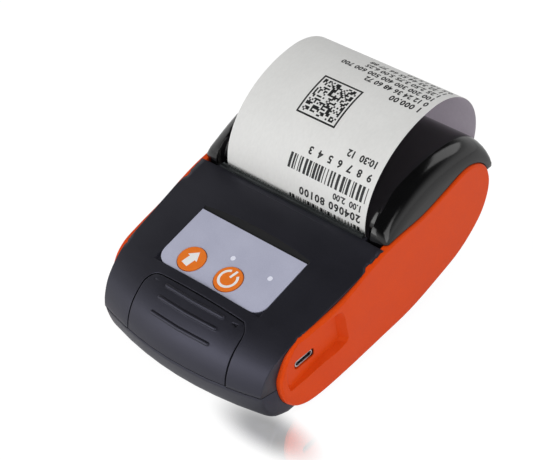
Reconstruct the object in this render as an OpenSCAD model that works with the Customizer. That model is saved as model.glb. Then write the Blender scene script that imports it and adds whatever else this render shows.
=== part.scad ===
// Portable receipt printer, closed, with a curled strip of paper standing in its slot.
// The front faces -Y, the hinge of the paper cover is at +Y, and the USB socket is on +X.
// The origin is at the base, under the middle of the outline.

/* [Case] */
// Width over the two side panels
case_w = 77.4; // [76:0.1:84]
// Front of the case to the paper slot
slot_back = 60; // [59:0.5:63]
// Front of the case to the hinge axis of the paper cover
hinge_back = 112; // [111:0.5:116]
// Height of the deck at the paper slot
slot_z = 37.2; // [36.8:0.1:39]
// Height of the seam between the two shells
seam_z = 13.2; // [13:0.1:14]
// Thickness of the shells' walls
wall = 1.8; // [1.5:0.1:2]
// Thickness of their sides behind the side panels
side_wall = 1.5; // [1.3:0.1:1.6]
// Height of the case above the feet's faces
foot_h = 0.6; // [0.4:0.1:1]
// Radius of the front, seen from above
front_r = 120; // [100:1:160]
// Radius of the tapered sides, seen from above
taper_r = 195; // [170:1:260]
// Front of the case to where the sides start to taper
taper_back = 42; // [36:1:46]
// Radius of the deck's crown from side to side
crown_r = 330; // [240:1:400]
// Radius of the lower side edges
belly_r = 2.2; // [1.8:0.1:3]

/* [Deck] */
// Front of the case to where the front face meets the flat deck
brow_back = 17; // [16:0.1:18]
// Height of the deck at that line
brow_z = 30.3; // [29.5:0.1:31]
// Front of the case to the end of the flat deck
ridge_back = 43.7; // [43:0.1:46]
// Height of the deck at its end
ridge_z = 35.9; // [35.5:0.1:36.2]
// Width of the control label
label_w = 43.5; // [40:0.1:46]
// Length of the control label along the deck
label_l = 22.8; // [20:0.1:24]
// Thickness of the control label
label_t = 0.6; // [0.4:0.1:0.8]
// Depth of the label's face under the crest of the deck
label_sink = 0.9; // [0.8:0.1:1.2]
// Front of the case to the label's front edge
label_back = 18.5; // [18:0.1:19]
// Radius of the label's two front corners
label_r = 4.7; // [2:0.1:6]
// Length of the ramp behind the label
ramp_l = 3; // [1:0.1:4]
// Depth of the shallow groove before the tear bar
groove_t = 0.35; // [0.2:0.05:0.6]
// Width of that groove
groove_w = 3.6; // [2:0.1:5]

/* [Buttons and lights] */
// Diameter of the two round buttons
button_d = 9.4; // [8:0.1:10]
// Gap round a button
button_gap = 0.2; // [0.15:0.05:0.3]
// How far a button stands out of the label
button_proud = 0.35; // [0.2:0.05:0.6]
// Travel of a button
button_travel = 0.4; // [0.3:0.05:0.6]
// Place of the feed button left of the middle
feed_x = 11; // [10:0.1:12]
// Place of the power button right of the middle
power_x = 4.35; // [3:0.1:6]
// Label's front edge to the middle of the buttons
button_up = 5.7; // [5.4:0.1:7]
// Diameter of a status light
light_d = 1.8; // [1.5:0.1:2.5]
// Place of the first light right of the middle
light_x = 0.1; // [-1:0.1:1]
// Spacing of the two lights
light_pitch = 15.2; // [12:0.1:17]
// Label's front edge to the middle of the lights
light_up = 12.7; // [12:0.1:16]

/* [Side panels] */
// Thickness of a side panel
panel_t = 2.4; // [2.2:0.1:2.8]
// How far a side panel stands out of the case
panel_proud = 0.9; // [0.7:0.1:1.2]
// Gap between a side panel and the shells
panel_gap = 0.1; // [0.05:0.05:0.2]
// Front of the case to the front of a side panel
panel_front = 9.8; // [9:0.1:11]
// Front of the case to the rear of a side panel
panel_back = 109.6; // [108:0.1:110]
// Lowest height of a side panel
panel_low = 1.6; // [1.4:0.1:2]
// Highest height of a side panel
panel_top = 41.3; // [40.5:0.1:42]
// Radius of a side panel's outer edge
panel_r = 0.9; // [0.5:0.1:1.2]
// Depth of the recess round the socket
recess_t = 1.7; // [1:0.1:1.8]
// Tilt of the recess floor
recess_tilt = 8; // [4:0.5:12]
// Width of the socket's opening
port_w = 8.2; // [8:0.1:9]
// Height of the socket's opening
port_h = 3; // [2.9:0.1:3.4]
// Front of the case to the middle of the socket
port_back = 21.5; // [20:0.1:23]
// Height of the middle of the socket
port_z = 18.4; // [18:0.1:19]

/* [Release flap] */
// Place of the flap right of the middle
flap_x = 0.8; // [0:0.1:1]
// Width of the flap
flap_w = 40.6; // [38:0.1:42]
// Width of the flap's top edge
flap_top_w = 32; // [28:0.1:34]
// Front of the case to the flap's hinge axis
flap_back = 13.6; // [13.2:0.1:14]
// Depth of that axis under the deck
flap_pin_sink = 2.4; // [2.3:0.1:2.6]
// Thickness of the flap
flap_t = 2; // [1.8:0.1:2.4]
// Gap round the flap
flap_gap = 0.5; // [0.45:0.05:0.6]
// Diameter of the flap's pin
flap_pin_d = 1.2; // [1:0.1:1.3]
// Length of the flap's ribs
rib_w = 24.4; // [20:0.1:28]
// How far a rib stands out
rib_h = 0.5; // [0.3:0.05:0.7]
// Thickness of a rib
rib_t = 1.3; // [1:0.1:1.8]
// Length of the flap's lug below its axis
lug_l = 4.5; // [4:0.1:5]

/* [Paper cover] */
// Wall of the cover
cover_wall = 1.6; // [1.4:0.1:2]
// Height of the cover's top
cover_top = 50.2; // [49.5:0.1:51]
// Height of the cover's lower edge
cover_edge = 34; // [33.8:0.1:34.4]
// Gap between the cover and the side panels
cover_gap = 0.3; // [0.3:0.05:0.6]
// Radius of the cover's long top edges
cover_r = 8; // [7:0.1:9]
// Radius of the cover's upright corners
cover_corner_r = 2; // [1:0.1:3]
// Reach of the cover's front corners past the slot
cover_ear = 3; // [2:0.1:3.2]
// Gap between the slot and the cover's front
slot_gap = 1; // [0.8:0.1:1.4]
// Height of the hinge axis
hinge_z = 31.5; // [31.2:0.1:31.6]
// Diameter of the hinge pins
hinge_pin_d = 2; // [1.6:0.1:2.2]
// Diameter of the hinge knuckles
knuckle_d = 4.4; // [4:0.1:4.6]

/* [Paper] */
// Width of the paper
paper_w = 57; // [56:0.5:57.4]
// Thickness of the paper strip
paper_t = 0.2; // [0.15:0.05:0.3]
// Slot to the crest of the strip
crest_back = 34.5; // [30:0.5:36]
// Slot to the rearmost point of the strip
curl_back = 55.8; // [55.5:0.1:60]
// Height of the strip's crest
crest_z = 63.4; // [60:0.1:68]
// Drop from the crest to the rearmost point
curl_drop = 18.9; // [17:0.1:20]
// Turn of the free end past the rearmost point
curl_turn = 12; // [5:1:20]
// Diameter of the paper roll
roll_d = 26; // [20:0.5:27]
// Diameter of the roll's core
core_d = 12.6; // [11:0.1:14]
// Bore of the core
core_bore = 9.6; // [8:0.1:10]

/* [Mechanism] */
// Diameter of the platen roller
platen_d = 10; // [9.6:0.1:10.2]
// Diameter of the platen shaft
shaft_d = 4; // [3.6:0.1:4.2]
// Height of the platen shaft
platen_z = 29.8; // [29.6:0.1:30]
// Gap between the platen and the print head
nip_gap = 0.3; // [0.3:0.05:0.4]
// Length of the platen roller beyond each edge of the paper
platen_extra = 0.3; // [0.2:0.1:0.6]
// Gear module
gear_m = 0.4; // [0.38:0.01:0.41]
// Teeth of the platen gear
platen_teeth = 30; // [30:1:30]
// Teeth of the idler gear
idler_teeth = 40; // [40:1:40]
// Teeth of the motor pinion
pinion_teeth = 16; // [16:1:16]
// Width of the gears
gear_w = 1.5; // [1.2:0.1:1.6]
// Diameter of the feed motor
motor_d = 13; // [12:0.1:13.4]
// Length of the feed motor
motor_l = 15; // [12:0.5:18]
// Thickness of the mechanism's side plates
plate_t = 1.2; // [1:0.1:1.3]
// Running clearance of a shaft in its hole
run_gap = 0.05; // [0.03:0.01:0.08]
// Radius of the paper bin's floor
bin_r = 16; // [15.5:0.1:16.2]
// Wall of the paper bin
bin_t = 1.2; // [1:0.1:1.4]
// Height of the middle of the paper bin's curve
bin_z = 31; // [30.8:0.1:31.4]

/* [Power and board] */
// Length of the battery pack from front to rear
battery_l = 34; // [30:0.5:35]
// Width of the battery pack
battery_w = 54; // [50:0.5:55]
// Thickness of the battery pack
battery_h = 9; // [8:0.1:9.2]
// Length of the battery door
door_l = 29.6; // [26:0.1:30]
// Width of the battery door
door_w = 50; // [44:0.1:51]
// Gap round the battery door
door_gap = 0.25; // [0.2:0.05:0.4]
// Thickness of the circuit boards
board_t = 1.4; // [1:0.1:1.6]
// Width of the main board
board_w = 55; // [52:0.5:55]
// Diameter of a foot
foot_d = 6; // [5:0.1:7]
// Diameter of a case screw's shank
screw_d = 2; // [1.8:0.1:2.2]
// Diameter of a case screw's head
screw_head_d = 3.8; // [3.4:0.1:4]

/* [Hidden] */
$fn = 48;
eps = 0.01;
seat_gap = 0.3;
clear_z = cover_top + 10;
half_w = case_w / 2 - panel_t - panel_gap;
lip = panel_t + panel_gap - panel_proud;
shell_back = panel_back - 0.1;
base_z = foot_h;
front = -(slot_back + curl_back + paper_t / 2) / 2;
slot_y = front + slot_back;
shell_top = cover_edge - 0.4;
floor_z = base_z + wall;
deck_end = slot_back - 1.2;
deck_slope = atan((ridge_z - brow_z) / (ridge_back - brow_back));
label_z = brow_z + (label_back - brow_back) * tan(deck_slope) - label_sink / cos(deck_slope);
platen_y = slot_y + nip_gap + platen_d / 2;
platen_w = paper_w + 2 * platen_extra;
mesh_gap = 0.08;
idler_z = platen_z - gear_m * (platen_teeth + idler_teeth) / 2 - mesh_gap;
motor_y = platen_y - gear_m * (idler_teeth + pinion_teeth) / 2 - mesh_gap;
arm_x = platen_w / 2 + seat_gap;
arm_t = 1.4;
plate_x = arm_x + arm_t + seat_gap;
gear_x = plate_x + plate_t + 0.4;
head_y = platen_y - platen_d / 2 - nip_gap;
head_t = 1;
sink_t = 2;
sink_low = idler_z + motor_d / 2 + 0.5;
bin_y = front + hinge_back - 25;
bin_x = paper_w / 2 + 0.7;
roll_z = bin_z - bin_r + roll_d / 2 + seat_gap;
board_top = port_z - 1.3;
board_front = front + 12.8;
board_back = front + 46;
boss_d = 4.8;
boss_h = 6;
screw_up = 4.5;
boss_places = [[30, 14], [31.6, 44]];
cover_half = case_w / 2 - panel_proud;
ear_room_x = paper_w / 2 + 2;
cover_front = slot_back + slot_gap;
cover_back = hinge_back + 1.3;
hinge_y = front + hinge_back;

// Plan of the case: the half width at a distance behind the front
function half_at(d, off = 0) = half_w - off
    - (d < taper_back ? taper_r - sqrt(taper_r * taper_r - pow(taper_back - d, 2)) : 0);
// The same where the bottom shell's lip fades out behind the side panel's front end
function lip_at(d) = lip * (1 - min(1, max(0, (d - 16) / 10)));
// How far the rounded front sets a point back, fading out towards the slot
function bow(x, d) = (front_r - sqrt(front_r * front_r - x * x)) * max(0, 1 - d / deck_end);
// How far the crown lowers the deck, fading in up the front face and out towards the slot
function crown(x, d, z) = (crown_r - sqrt(crown_r * crown_r - x * x))
    * min(1, max(0, (z - seam_z) / (brow_z - seam_z)))
    * (1 - 0.8 * min(1, max(0, (d - ridge_back - 4) / (slot_back - ridge_back - 4))));

// Smooth curve through points, with n steps between two of them
function blend(a, b, c, d, t) = 0.5 * (2 * b + (c - a) * t + (2 * a - 5 * b + 4 * c - d) * t * t
    + (3 * b - a - 3 * c + d) * t * t * t);
function curve(p, n) = let (e = len(p) - 1) concat([for (i = [0:e - 1], k = [0:n - 1])
    blend(p[max(0, i - 1)], p[i], p[i + 1], p[min(e, i + 2)], k / n)], [p[e]]);
function loop(p, n) = let (m = len(p)) [for (i = [0:m - 1], k = [0:n - 1])
    blend(p[(i + m - 1) % m], p[i], p[(i + 1) % m], p[(i + 2) % m], k / n)];
function unit(v) = v / norm(v);
// Points moved to the left of the way that the line runs
function side_of(p, e) = let (m = len(p) - 1) [for (i = [0:m])
    let (t = unit(p[min(m, i + 1)] - p[max(0, i - 1)])) p[i] + e * [-t[1], t[0]]];
function loop_inset(p, e) = let (m = len(p)) [for (i = [0:m - 1])
    let (t = unit(p[(i + 1) % m] - p[(i + m - 1) % m])) p[i] + e * [-t[1], t[0]]];
function reversed(p) = [for (i = [len(p) - 1:-1:0]) p[i]];
function arc(r, a, b, n) = [for (i = [0:n]) let (t = a + (b - a) * i / n) r * [cos(t), sin(t)]];
function moved(p, v) = [for (q = p) q + v];

// The front face and the deck, from the seam to the slot, as [distance behind the front, height]
brow_curve = [[0, 0], [0.035, 0.19], [0.12, 0.39], [0.235, 0.56], [0.4, 0.706], [0.59, 0.829],
    [0.79, 0.923], [1, 1]];
deck_line = concat(curve([for (q = brow_curve)
    [q[0] * brow_back, seam_z + q[1] * (brow_z - seam_z)]], 2),
    curve([[ridge_back, ridge_z], [(ridge_back + deck_end) / 2, slot_z - 0.3], [deck_end, slot_z]], 3));
function deck_z(d) = lookup(d, deck_line);
flap_pin_z = deck_z(flap_back) - flap_pin_sink;

// The chin, the belly and the rear wall, from the seam round to the cover's edge
belly_line = concat(curve([[0, seam_z], [0.5, seam_z - 3.6], [1.5, seam_z - 7.2], [3, base_z + 2.9],
    [5.6, base_z + 0.9], [9.5, base_z]], 2), [[slot_back, base_z]],
    curve([[slot_back + 6, base_z + 0.9], [slot_back + 14, base_z + 3.4], [shell_back - 27, base_z + 6.4],
        [shell_back - 15.5, base_z + 10], [shell_back - 6, base_z + 16.4], [shell_back - 1.6, base_z + 23],
        [shell_back - 0.15, base_z + 29]], 2),
    [[shell_back, shell_top]]);

// Outline of a side panel
panel_loop = loop([[panel_front + 0.7, seam_z + 2], [panel_front + 1.6, panel_low + 7.4],
    [panel_front + 3.7, panel_low + 3.7], [panel_front + 7.6, panel_low + 0.9],
    [panel_front + 13.5, panel_low], [panel_front + 27, panel_low + 1],
    [slot_back - 8, panel_low + 1.8], [slot_back + 8, panel_low + 2.8],
    [panel_back - 27, panel_low + 6], [panel_back - 15.5, panel_low + 9.5],
    [panel_back - 6, panel_low + 15.8], [panel_back - 1.5, panel_low + 22.1],
    [panel_back, panel_top - 10.8], [panel_back - 2, panel_top - 4.5],
    [panel_back - 7, panel_top - 0.9], [panel_back - 13, panel_top],
    [panel_back - 22, panel_top - 1.8], [slot_back + 16, slot_z + 0.1],
    [slot_back + 2, slot_z - 0.4], [slot_back - 9, slot_z - 2.3],
    [slot_back - 22, brow_z + 0.7], [panel_front + 18, brow_z - 1],
    [panel_front + 10, brow_z - 2.4], [panel_front + 4.9, brow_z - 5.5],
    [panel_front + 1.8, brow_z - 10.8]], 4);

// The cover from its front lip over the top to its rear edge
cover_line = concat([[cover_front, cover_edge]],
    curve([[cover_front, cover_edge + 2.8], [cover_front + 0.6, cover_top - 10.5],
        [cover_front + 2.8, cover_top - 7.2], [cover_front + 6.5, cover_top - 4.6],
        [cover_front + 12, cover_top - 2.2], [cover_front + 20, cover_top - 0.5],
        [cover_back - 23, cover_top], [cover_back - 13.5, cover_top - 1],
        [cover_back - 7.5, cover_top - 3.2], [cover_back - 3.2, cover_top - 6.8],
        [cover_back - 0.9, cover_top - 11], [cover_back, cover_edge + 1.6]], 3),
    [[cover_back, cover_edge]]);

// The faces between m rings of n points
function ring_sides(n, m) = [for (j = [0:m - 2], i = [0:n - 1]) each [
    [j * n + i, (j + 1) * n + i, (j + 1) * n + (i + 1) % n],
    [j * n + i, (j + 1) * n + (i + 1) % n, j * n + (i + 1) % n]]];
side_bulge = 0.15;
// A solid through arched rings. Each end is a slightly bulging fan about a point between its feet.
module arch_solid(rings) {
    n = len(rings[0]);
    m = len(rings);
    e = (m - 1) * n;
    polyhedron(points = concat([for (r = rings, p = r) p],
        [for (r = [rings[0], rings[m - 1]])
            (r[0] + r[n - 1]) / 2 + [sign(r[0][0]) * side_bulge, 0, cover_r / 2]]),
        faces = concat(ring_sides(n, m), [for (i = [0:n - 1]) each [
            [i, (i + 1) % n, m * n], [e + i, m * n + 1, e + (i + 1) % n]]]));
}
// A solid through rings with the same number of points. The two ends are closed by strips
// between the first half of a ring and its last half; the halves may share the first point.
module rings_solid(rings, shared = 0) {
    n = len(rings[0]);
    m = len(rings);
    e = (m - 1) * n;
    h = floor((n + shared) / 2);
    function mate(i) = n - 1 + shared - i;
    polyhedron(points = [for (r = rings, p = r) p], faces = concat(ring_sides(n, m),
        shared == 1 ? [[0, 1, n - 1], [e, e + n - 1, e + 1]] : [],
        (n + shared) % 2 == 1 ? [[h - 1, h, h + 1], [e + h - 1, e + h + 1, e + h]] : [],
        [for (i = [shared:(n + shared) / 2 - 2]) each [
            [i, i + 1, mate(i + 1)], [i, mate(i + 1), mate(i)],
            [e + i, e + mate(i + 1), e + i + 1], [e + i, e + mate(i), e + mate(i + 1)]]]));
}

// An outline in Y and Z, drawn out along X from x0 to x1
module side_prism(p, x0, x1) {
    translate([x0, 0, 0]) rotate([90, 0, 90]) linear_extrude(x1 - x0) polygon(p);
}
module rod(y, z, d, x0, x1, fn = 48) {
    translate([x0, y, z]) rotate([0, 90, 0]) cylinder(d = d, h = x1 - x0, $fn = fn);
}
// A block given by its low and high corners
module block(a, b) {
    translate(a) cube(b - a);
}
module both_sides() {
    for (s = [0, 1]) mirror([s, 0, 0]) children();
}

deck_steps = [1, 0.84, 0.66, 0.44, 0.22, 0, -0.22, -0.44, -0.66, -0.84, -1];
// The space under the deck, down to the seam, off inside its outer skin and side inside its sides
module deck_block(off, side) {
    low = off > 0 ? seam_z - 1 : seam_z;
    shared = off > 0 ? 0 : 1;
    line = side_of(deck_line, -off);
    rings_solid([for (s = deck_steps) concat(
        [for (q = line) let (x = s * half_at(q[0], side))
            [x, front + q[0] + bow(x, q[0]), q[1] - crown(x, q[0], q[1])]],
        [for (i = [len(line) - 1:-1:shared]) let (q = line[i], x = s * half_at(q[0], side))
            [x, front + q[0] + bow(x, q[0]), low]])], shared);
}

belly_steps = [for (s = [-1, 1]) each [for (t = s < 0 ? [1, 0.99, 0.97, 0.945, 0.9, 0.66, 0.44, 0.22, 0]
    : [0.22, 0.44, 0.66, 0.9, 0.945, 0.97, 0.99, 1]) s * t]];
// The space over the belly, off inside its outer skin
module belly_block(off, top) {
    line = side_of(belly_line, off);
    rings_solid([for (s = belly_steps) concat(
        [for (q = reversed(line)) let (x = s * half_at(q[0], off > 0 ? side_wall : -lip_at(q[0])))
            [x, front + q[0] + bow(x, q[0]), max(top, q[1]) + 0.01]],
        [for (q = line) let (w = half_at(q[0], off > 0 ? side_wall : -lip_at(q[0])), x = s * w,
            r = max(0.4, belly_r - off),
            u = max(0, (abs(x) - (w - r)) / r))
            [x, front + q[0] + bow(x, q[0]), min(top, q[1] + r * (1 - sqrt(1 - min(1, u * u))))]])]);
}

module bottom_shell() {
    color("#2b2b2f") difference() {
        union() {
            difference() {
                belly_block(0, shell_top);
                belly_block(wall, shell_top + 1);
                block([-case_w, front - 5, seam_z], [case_w, front + deck_end + 0.2, clear_z]);
                both_sides() panel_room();
            }
            both_sides() hinge_ears();
            both_sides() battery_walls();
            for (s = [-1, 1], p = boss_places) translate([s * p[0], front + p[1], floor_z - 0.5])
                cylinder(d = boss_d, h = seam_z - floor_z + 0.5);
        }
        block([-door_w / 2 - door_gap, door_y - door_gap, -1],
            [door_w / 2 + door_gap, door_y + door_l + door_gap, floor_z + 1]);
        for (p = foot_places)
            translate([p[0], p[1], 0]) cylinder(d = foot_d + 0.2, h = base_z + foot_in);
        for (s = [-1, 1], p = boss_places) translate([s * p[0], front + p[1], -1]) {
            cylinder(d = screw_d + 0.2, h = seam_z + 2);
            cylinder(d = screw_head_d + 0.4, h = 1 + base_z + screw_in);
        }
    }
}
door_y = front + 15;
foot_in = 0.9;
foot_places = [for (s = [-1, 1], p = [[20, 10.5], [27, 54]]) [s * p[0], front + p[1]]];
screw_in = 1.4;
ear_t = 1.6;
ear_x = half_w - wall - ear_t;
// Ears that carry the hinge pins behind the rear wall
module hinge_ears() {
    difference() {
        union() {
            side_prism(moved([[-3.6, 1.2], [-4.6, -5], [-3.8, -7.6], [1.7, -1.4], [0, 1.2]],
                [hinge_y, hinge_z]), ear_x, ear_x + ear_t);
            rod(hinge_y, hinge_z, knuckle_d, ear_x, ear_x + ear_t);
        }
        rod(hinge_y, hinge_z, hinge_pin_d, ear_x - 1, ear_x + ear_t + 1);
    }
}
// Ribs that stand round the battery and carry the main board
module battery_walls() {
    block([battery_w / 2 + 0.2, front + boss_places[0][1] + boss_d / 2 + seat_gap, floor_z - 0.3],
        [battery_w / 2 + 1.2, board_front + battery_l - 4, board_top - board_t]);
}

module top_shell() {
    color("#2b2b2f") difference() {
        union() {
            difference() {
                deck_block(0, -lip);
                deck_block(wall, side_wall);
                block([side_wall - half_w, front + deck_end - 6, seam_z - 1],
                    [half_w - side_wall, front + deck_end + 2, slot_z - wall]);
                both_sides() panel_room();
                both_sides() block([ear_room_x, front + cover_front - cover_ear - 0.5, seam_z],
                    [case_w, front + slot_back + 2, slot_z + 5]);
            }
            both_sides() {
                translate([boss_places[0][0], front + boss_places[0][1], seam_z]) cylinder(d = boss_d, h = boss_h);
                block([boss_places[0][0], front + boss_places[0][1] - 0.7, seam_z],
                    [half_at(boss_places[0][1]) - 0.8, front + boss_places[0][1] + 0.7, seam_z + boss_h]);
                translate([boss_places[1][0], front + boss_places[1][1], seam_z])
                    cylinder(d = boss_d, h = deck_z(boss_places[1][1] - 6) - seam_z - wall - 0.5);
            }
            on_label() block([-label_w / 2 - 1, -0.8, -label_t - pad_t],
                [label_w / 2 + 1, label_l + 1, -label_t]);
            translate([flap_x, 0, 0]) both_sides() flap_ear();
        }
        for (s = [-1, 1], p = boss_places)
            translate([s * p[0], front + p[1], seam_z - 1]) cylinder(d = screw_d - 0.2, h = screw_up + 1.5);
        translate([flap_x, 0, 0]) difference() {
            flap_outline(flap_gap);
            both_sides() flap_ear();
        }
        label_pocket();
        on_label() {
            for (x = [-feed_x, power_x])
                translate([x, button_up, -6]) cylinder(d = button_d + 2 * button_gap, h = 8);
            for (x = light_places) translate([x, light_up, -6]) cylinder(d = light_d + 0.2, h = 8);
        }
        block([-panel_x(slot_back) - 2, front + deck_end - groove_w, slot_z - groove_t],
            [case_w, front + deck_end + 1, slot_z + 2]);
        rod(front + flap_back, flap_pin_z, flap_pin_d, flap_x - flap_pin_l / 2 - 0.2,
            flap_x + flap_pin_l / 2 + 0.2);
        port_cut(half_w - 6, port_w + 0.8, port_h + 0.8);
    }
}
light_places = [light_x, light_x + light_pitch];
module on_label() {
    translate([0, front + label_back, label_z]) rotate([deck_slope, 0, 0]) children();
}
// Pocket for the label, with the ramp behind it
module label_pocket() {
    on_label() side_prism([[-0.2, -label_t], [label_l + 0.2, -label_t],
        [label_l + 0.2 + ramp_l, label_sink + 0.3], [label_l + 0.2 + ramp_l, 5], [-0.2, 5]],
        -label_w / 2 - 0.2, label_w / 2 + 0.2);
}
// The flap's outline from the front, drawn back through the front face
module flap_outline(gap) {
    w = flap_w / 2 + gap;
    back = flap_back + 1 + gap;
    r = (flap_w - flap_top_w) / 2 + gap;
    corner = concat([for (i = [0:8]) let (x = w - r + r * cos(i * 11.25), d = back - r + r * sin(i * 11.25),
        q = d - bow(x, d)) [x, deck_z(q) - crown(x, q, deck_z(q))]], [[w - r - 0.01, deck_z(back) + 1]]);
    low = gap > 0 ? seam_z - 1 : seam_z + flap_gap;
    translate([0, front + back, 0]) rotate([90, 0, 0]) linear_extrude(24)
        polygon(concat([[w, low]], corner, [for (p = reversed(corner)) [-p[0], p[1]]], [[-w, low]]));
}
pin_ear_x = flap_top_w / 2 - 0.6;
pin_ear_w = 1.4;
flap_pin_l = 2 * (pin_ear_x + pin_ear_w) + 0.4;
// Ears that hold the ends of the flap's pin, and with a gap the room for them in the flap
module flap_ear(gap = 0) {
    side_prism(moved([[-1 - gap, gap > 0 ? -4 : -0.9], [0.8, gap > 0 ? -4 : -1.1], [4.5, gap > 0 ? -4 : 0.4],
        [4.5, 1.4 + gap], [0.4, 1 + gap], [-0.4 - gap, 1 + gap], [-1 - gap, 0.4 + gap]],
        [front + flap_back, flap_pin_z]), pin_ear_x - gap, pin_ear_x + pin_ear_w + gap);
}

function panel_x(d) = half_at(d) + panel_gap;
module side_panel() {
    steps = [for (a = [0:30:90]) [panel_r * (1 - cos(a)), panel_t - panel_r * (1 - sin(a))]];
    rings_solid([for (q = concat([[0, 0]], steps))
        [for (p = loop_inset(panel_loop, q[0])) [panel_x(p[0]) + q[1], front + p[0], p[1]]]]);
}
// The room for a side panel, cut out of the case's sides
module panel_room() {
    rings_solid([for (q = [0, 8]) [for (p = loop_inset(panel_loop, -panel_gap))
        [half_at(p[0]) + q, front + p[0], p[1]]]]);
}
recess_line = loop([[-2, -6], [8, -6.2], [16, -5.2], [24, -3.6], [25.6, -0.8], [25, 4], [23.4, 11],
    [20, 16], [8, 16], [-2, 12]], 4);
module right_side_panel() {
    color("#d2561f") difference() {
        side_panel();
        intersection() {
            side_prism(moved([for (p = recess_line) p + [-9, 0]], [front + port_back, port_z]),
                half_w - 2, case_w);
            translate([case_w / 2 - recess_t, front, port_z - 3]) rotate([0, recess_tilt, 0])
                block([0, 0, -30], [20, 60, 60]);
        }
        port_cut(half_w - 2, port_w, port_h);
    }
}
module left_side_panel() {
    color("#d2561f") mirror([1, 0, 0]) side_panel();
}
// Bar with rounded ends through the middle of the socket, for its shell and its openings
module port_form(x0, x1, w, h) {
    y = front + port_back;
    block([x0, y - w / 2 + h / 2, port_z - h / 2], [x1, y + w / 2 - h / 2, port_z + h / 2]);
    for (s = [-1, 1]) rod(y + s * (w - h) / 2, port_z, h, x0, x1);
}
module port_cut(x, w, h) {
    port_form(x, case_w, w, h);
}

module control_label() {
    r = label_r;
    color("#a9a9b8") on_label() difference() {
        translate([0, 0, -label_t]) linear_extrude(label_t) polygon(concat(
            moved(arc(r, 180, 270, 8), [-label_w / 2 + r, r]),
            moved(arc(r, 270, 360, 8), [label_w / 2 - r, r]),
            [[label_w / 2, label_l], [-label_w / 2, label_l]]));
        for (x = [-feed_x, power_x])
            translate([x, button_up, -2]) cylinder(d = button_d + 2 * button_gap, h = 4);
        for (x = light_places) translate([x, light_up, -2]) cylinder(d = light_d + 0.1, h = 4);
    }
}

pad_t = 1.2;
key_drop = 5.4;
key_h = 0.7;
flange_t = 1;
// A button with the flange that keeps it under the deck
module button(x) {
    foot = -key_drop + key_h + seat_gap + button_travel;
    color("#ee7b2a") on_label() translate([x, button_up, 0]) {
        translate([0, 0, foot]) cylinder(d = button_d, h = button_proud - foot);
        translate([0, 0, -label_t - pad_t - 0.1 - flange_t]) cylinder(d = button_d + 1.6, h = flange_t);
    }
}
module feed_button() {
    button(-feed_x);
}
module power_button() {
    button(power_x);
}
module status_lights() {
    color("#e8e8f0") on_label() for (x = light_places)
        translate([x, light_up, -key_drop + seat_gap]) cylinder(d = light_d, h = key_drop - seat_gap);
}
// Small board under the deck with the two keys and the lights on it
module key_board() {
    color("#1f6b3a") on_label() {
        block([-feed_x - 6, 1.4, -key_drop - board_t], [light_places[1] + 3, light_up + 3, -key_drop]);
        for (x = [-feed_x, power_x]) translate([x, button_up, -key_drop - eps])
            cylinder(d = 3.4, h = key_h);
        for (x = [-4, 9.6]) block([x - 0.8, 15, -key_drop - eps], [x + 0.8, 16.4, -label_t - pad_t]);
    }
}

tooth_w = 1.2;
tear_h = 1;
// Serrated strip on the deck's rear edge
module tear_bar() {
    n = floor((paper_w + 2) / tooth_w);
    color("#5b6660") {
        block([-n * tooth_w / 2, front + deck_end - 1.4, slot_z - groove_t],
            [n * tooth_w / 2, front + deck_end, slot_z + tear_h - 0.5]);
        translate([-n * tooth_w / 2, front + deck_end, 0]) rotate([90, 0, 0])
            linear_extrude(0.5) polygon(concat([[0, slot_z]], [for (i = [0:n - 1], k = [0, 1])
                [(i + k / 2) * tooth_w, slot_z + tear_h - 0.5 + k * 0.5]],
                [[n * tooth_w, slot_z + tear_h - 0.5], [n * tooth_w, slot_z]]));
    }
}

lug_x = flap_top_w / 2 - 3;
knuckle_r = 1.2;
// Ribbed flap in the front, hinged under its top edge
module release_flap() {
    y = front + flap_back;
    color("#2b2b2f") translate([flap_x, 0, 0]) {
        difference() {
            union() {
                intersection() {
                    translate([-flap_x, 0, 0])
                    difference() {
                        deck_block(0, -lip);
                        deck_block(flap_t, flap_t);
                    }
                    flap_outline(0);
                }
                rod(y, flap_pin_z, 2 * knuckle_r, -flap_top_w / 2 + 1, flap_top_w / 2 - 1);
                both_sides() side_prism(concat(moved(arc(knuckle_r, 0, 180, 8), [y, flap_pin_z]),
                    [[y - knuckle_r, flap_pin_z - lug_l - 1], [y + 0.6, flap_pin_z - lug_l - 1]]),
                    lug_x - 1, lug_x + 1);
            }
            rod(y, flap_pin_z, flap_pin_d + 2 * run_gap, -flap_w, flap_w);
            block([-spring_w / 2 - 0.3, y - spring_d / 2 - 0.3, flap_pin_z - 3],
                [spring_w / 2 + 0.3, y + 3, flap_pin_z + spring_d / 2 + 0.2]);
            both_sides() flap_ear(0.35);
        }
        for (t = rib_shares) flap_rib(t);
    }
}
rib_shares = [0.585, 0.772, 0.889];
// A rounded rib across the flap, at a share of the way from the seam up to the flat deck
module flap_rib(t) {
    z = seam_z + t * (brow_z - seam_z);
    d = lookup(z, [for (q = deck_line) if (q[0] <= brow_back) [q[1], q[0]]]);
    for (s = [-1, 1]) hull() for (x = [0, s * (rib_w / 2 - rib_t / 2)]) let (a = x + flap_x)
        translate([x, front + d + bow(a, d) - rib_h + rib_t / 2, z - crown(a, d, z) + 0.1])
            sphere(d = rib_t, $fn = 16);
}
module flap_pin() {
    color("#c9ccd0") rod(front + flap_back, flap_pin_z, flap_pin_d, flap_x - flap_pin_l / 2,
        flap_x + flap_pin_l / 2);
}
spring_w = 8;
spring_d = 2.2;
module flap_spring() {
    color("#c9ccd0") translate([flap_x, 0, 0]) difference() {
        rod(front + flap_back, flap_pin_z, spring_d, -spring_w / 2, spring_w / 2);
        rod(front + flap_back, flap_pin_z, flap_pin_d + 0.1, -spring_w, spring_w);
    }
}

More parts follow.
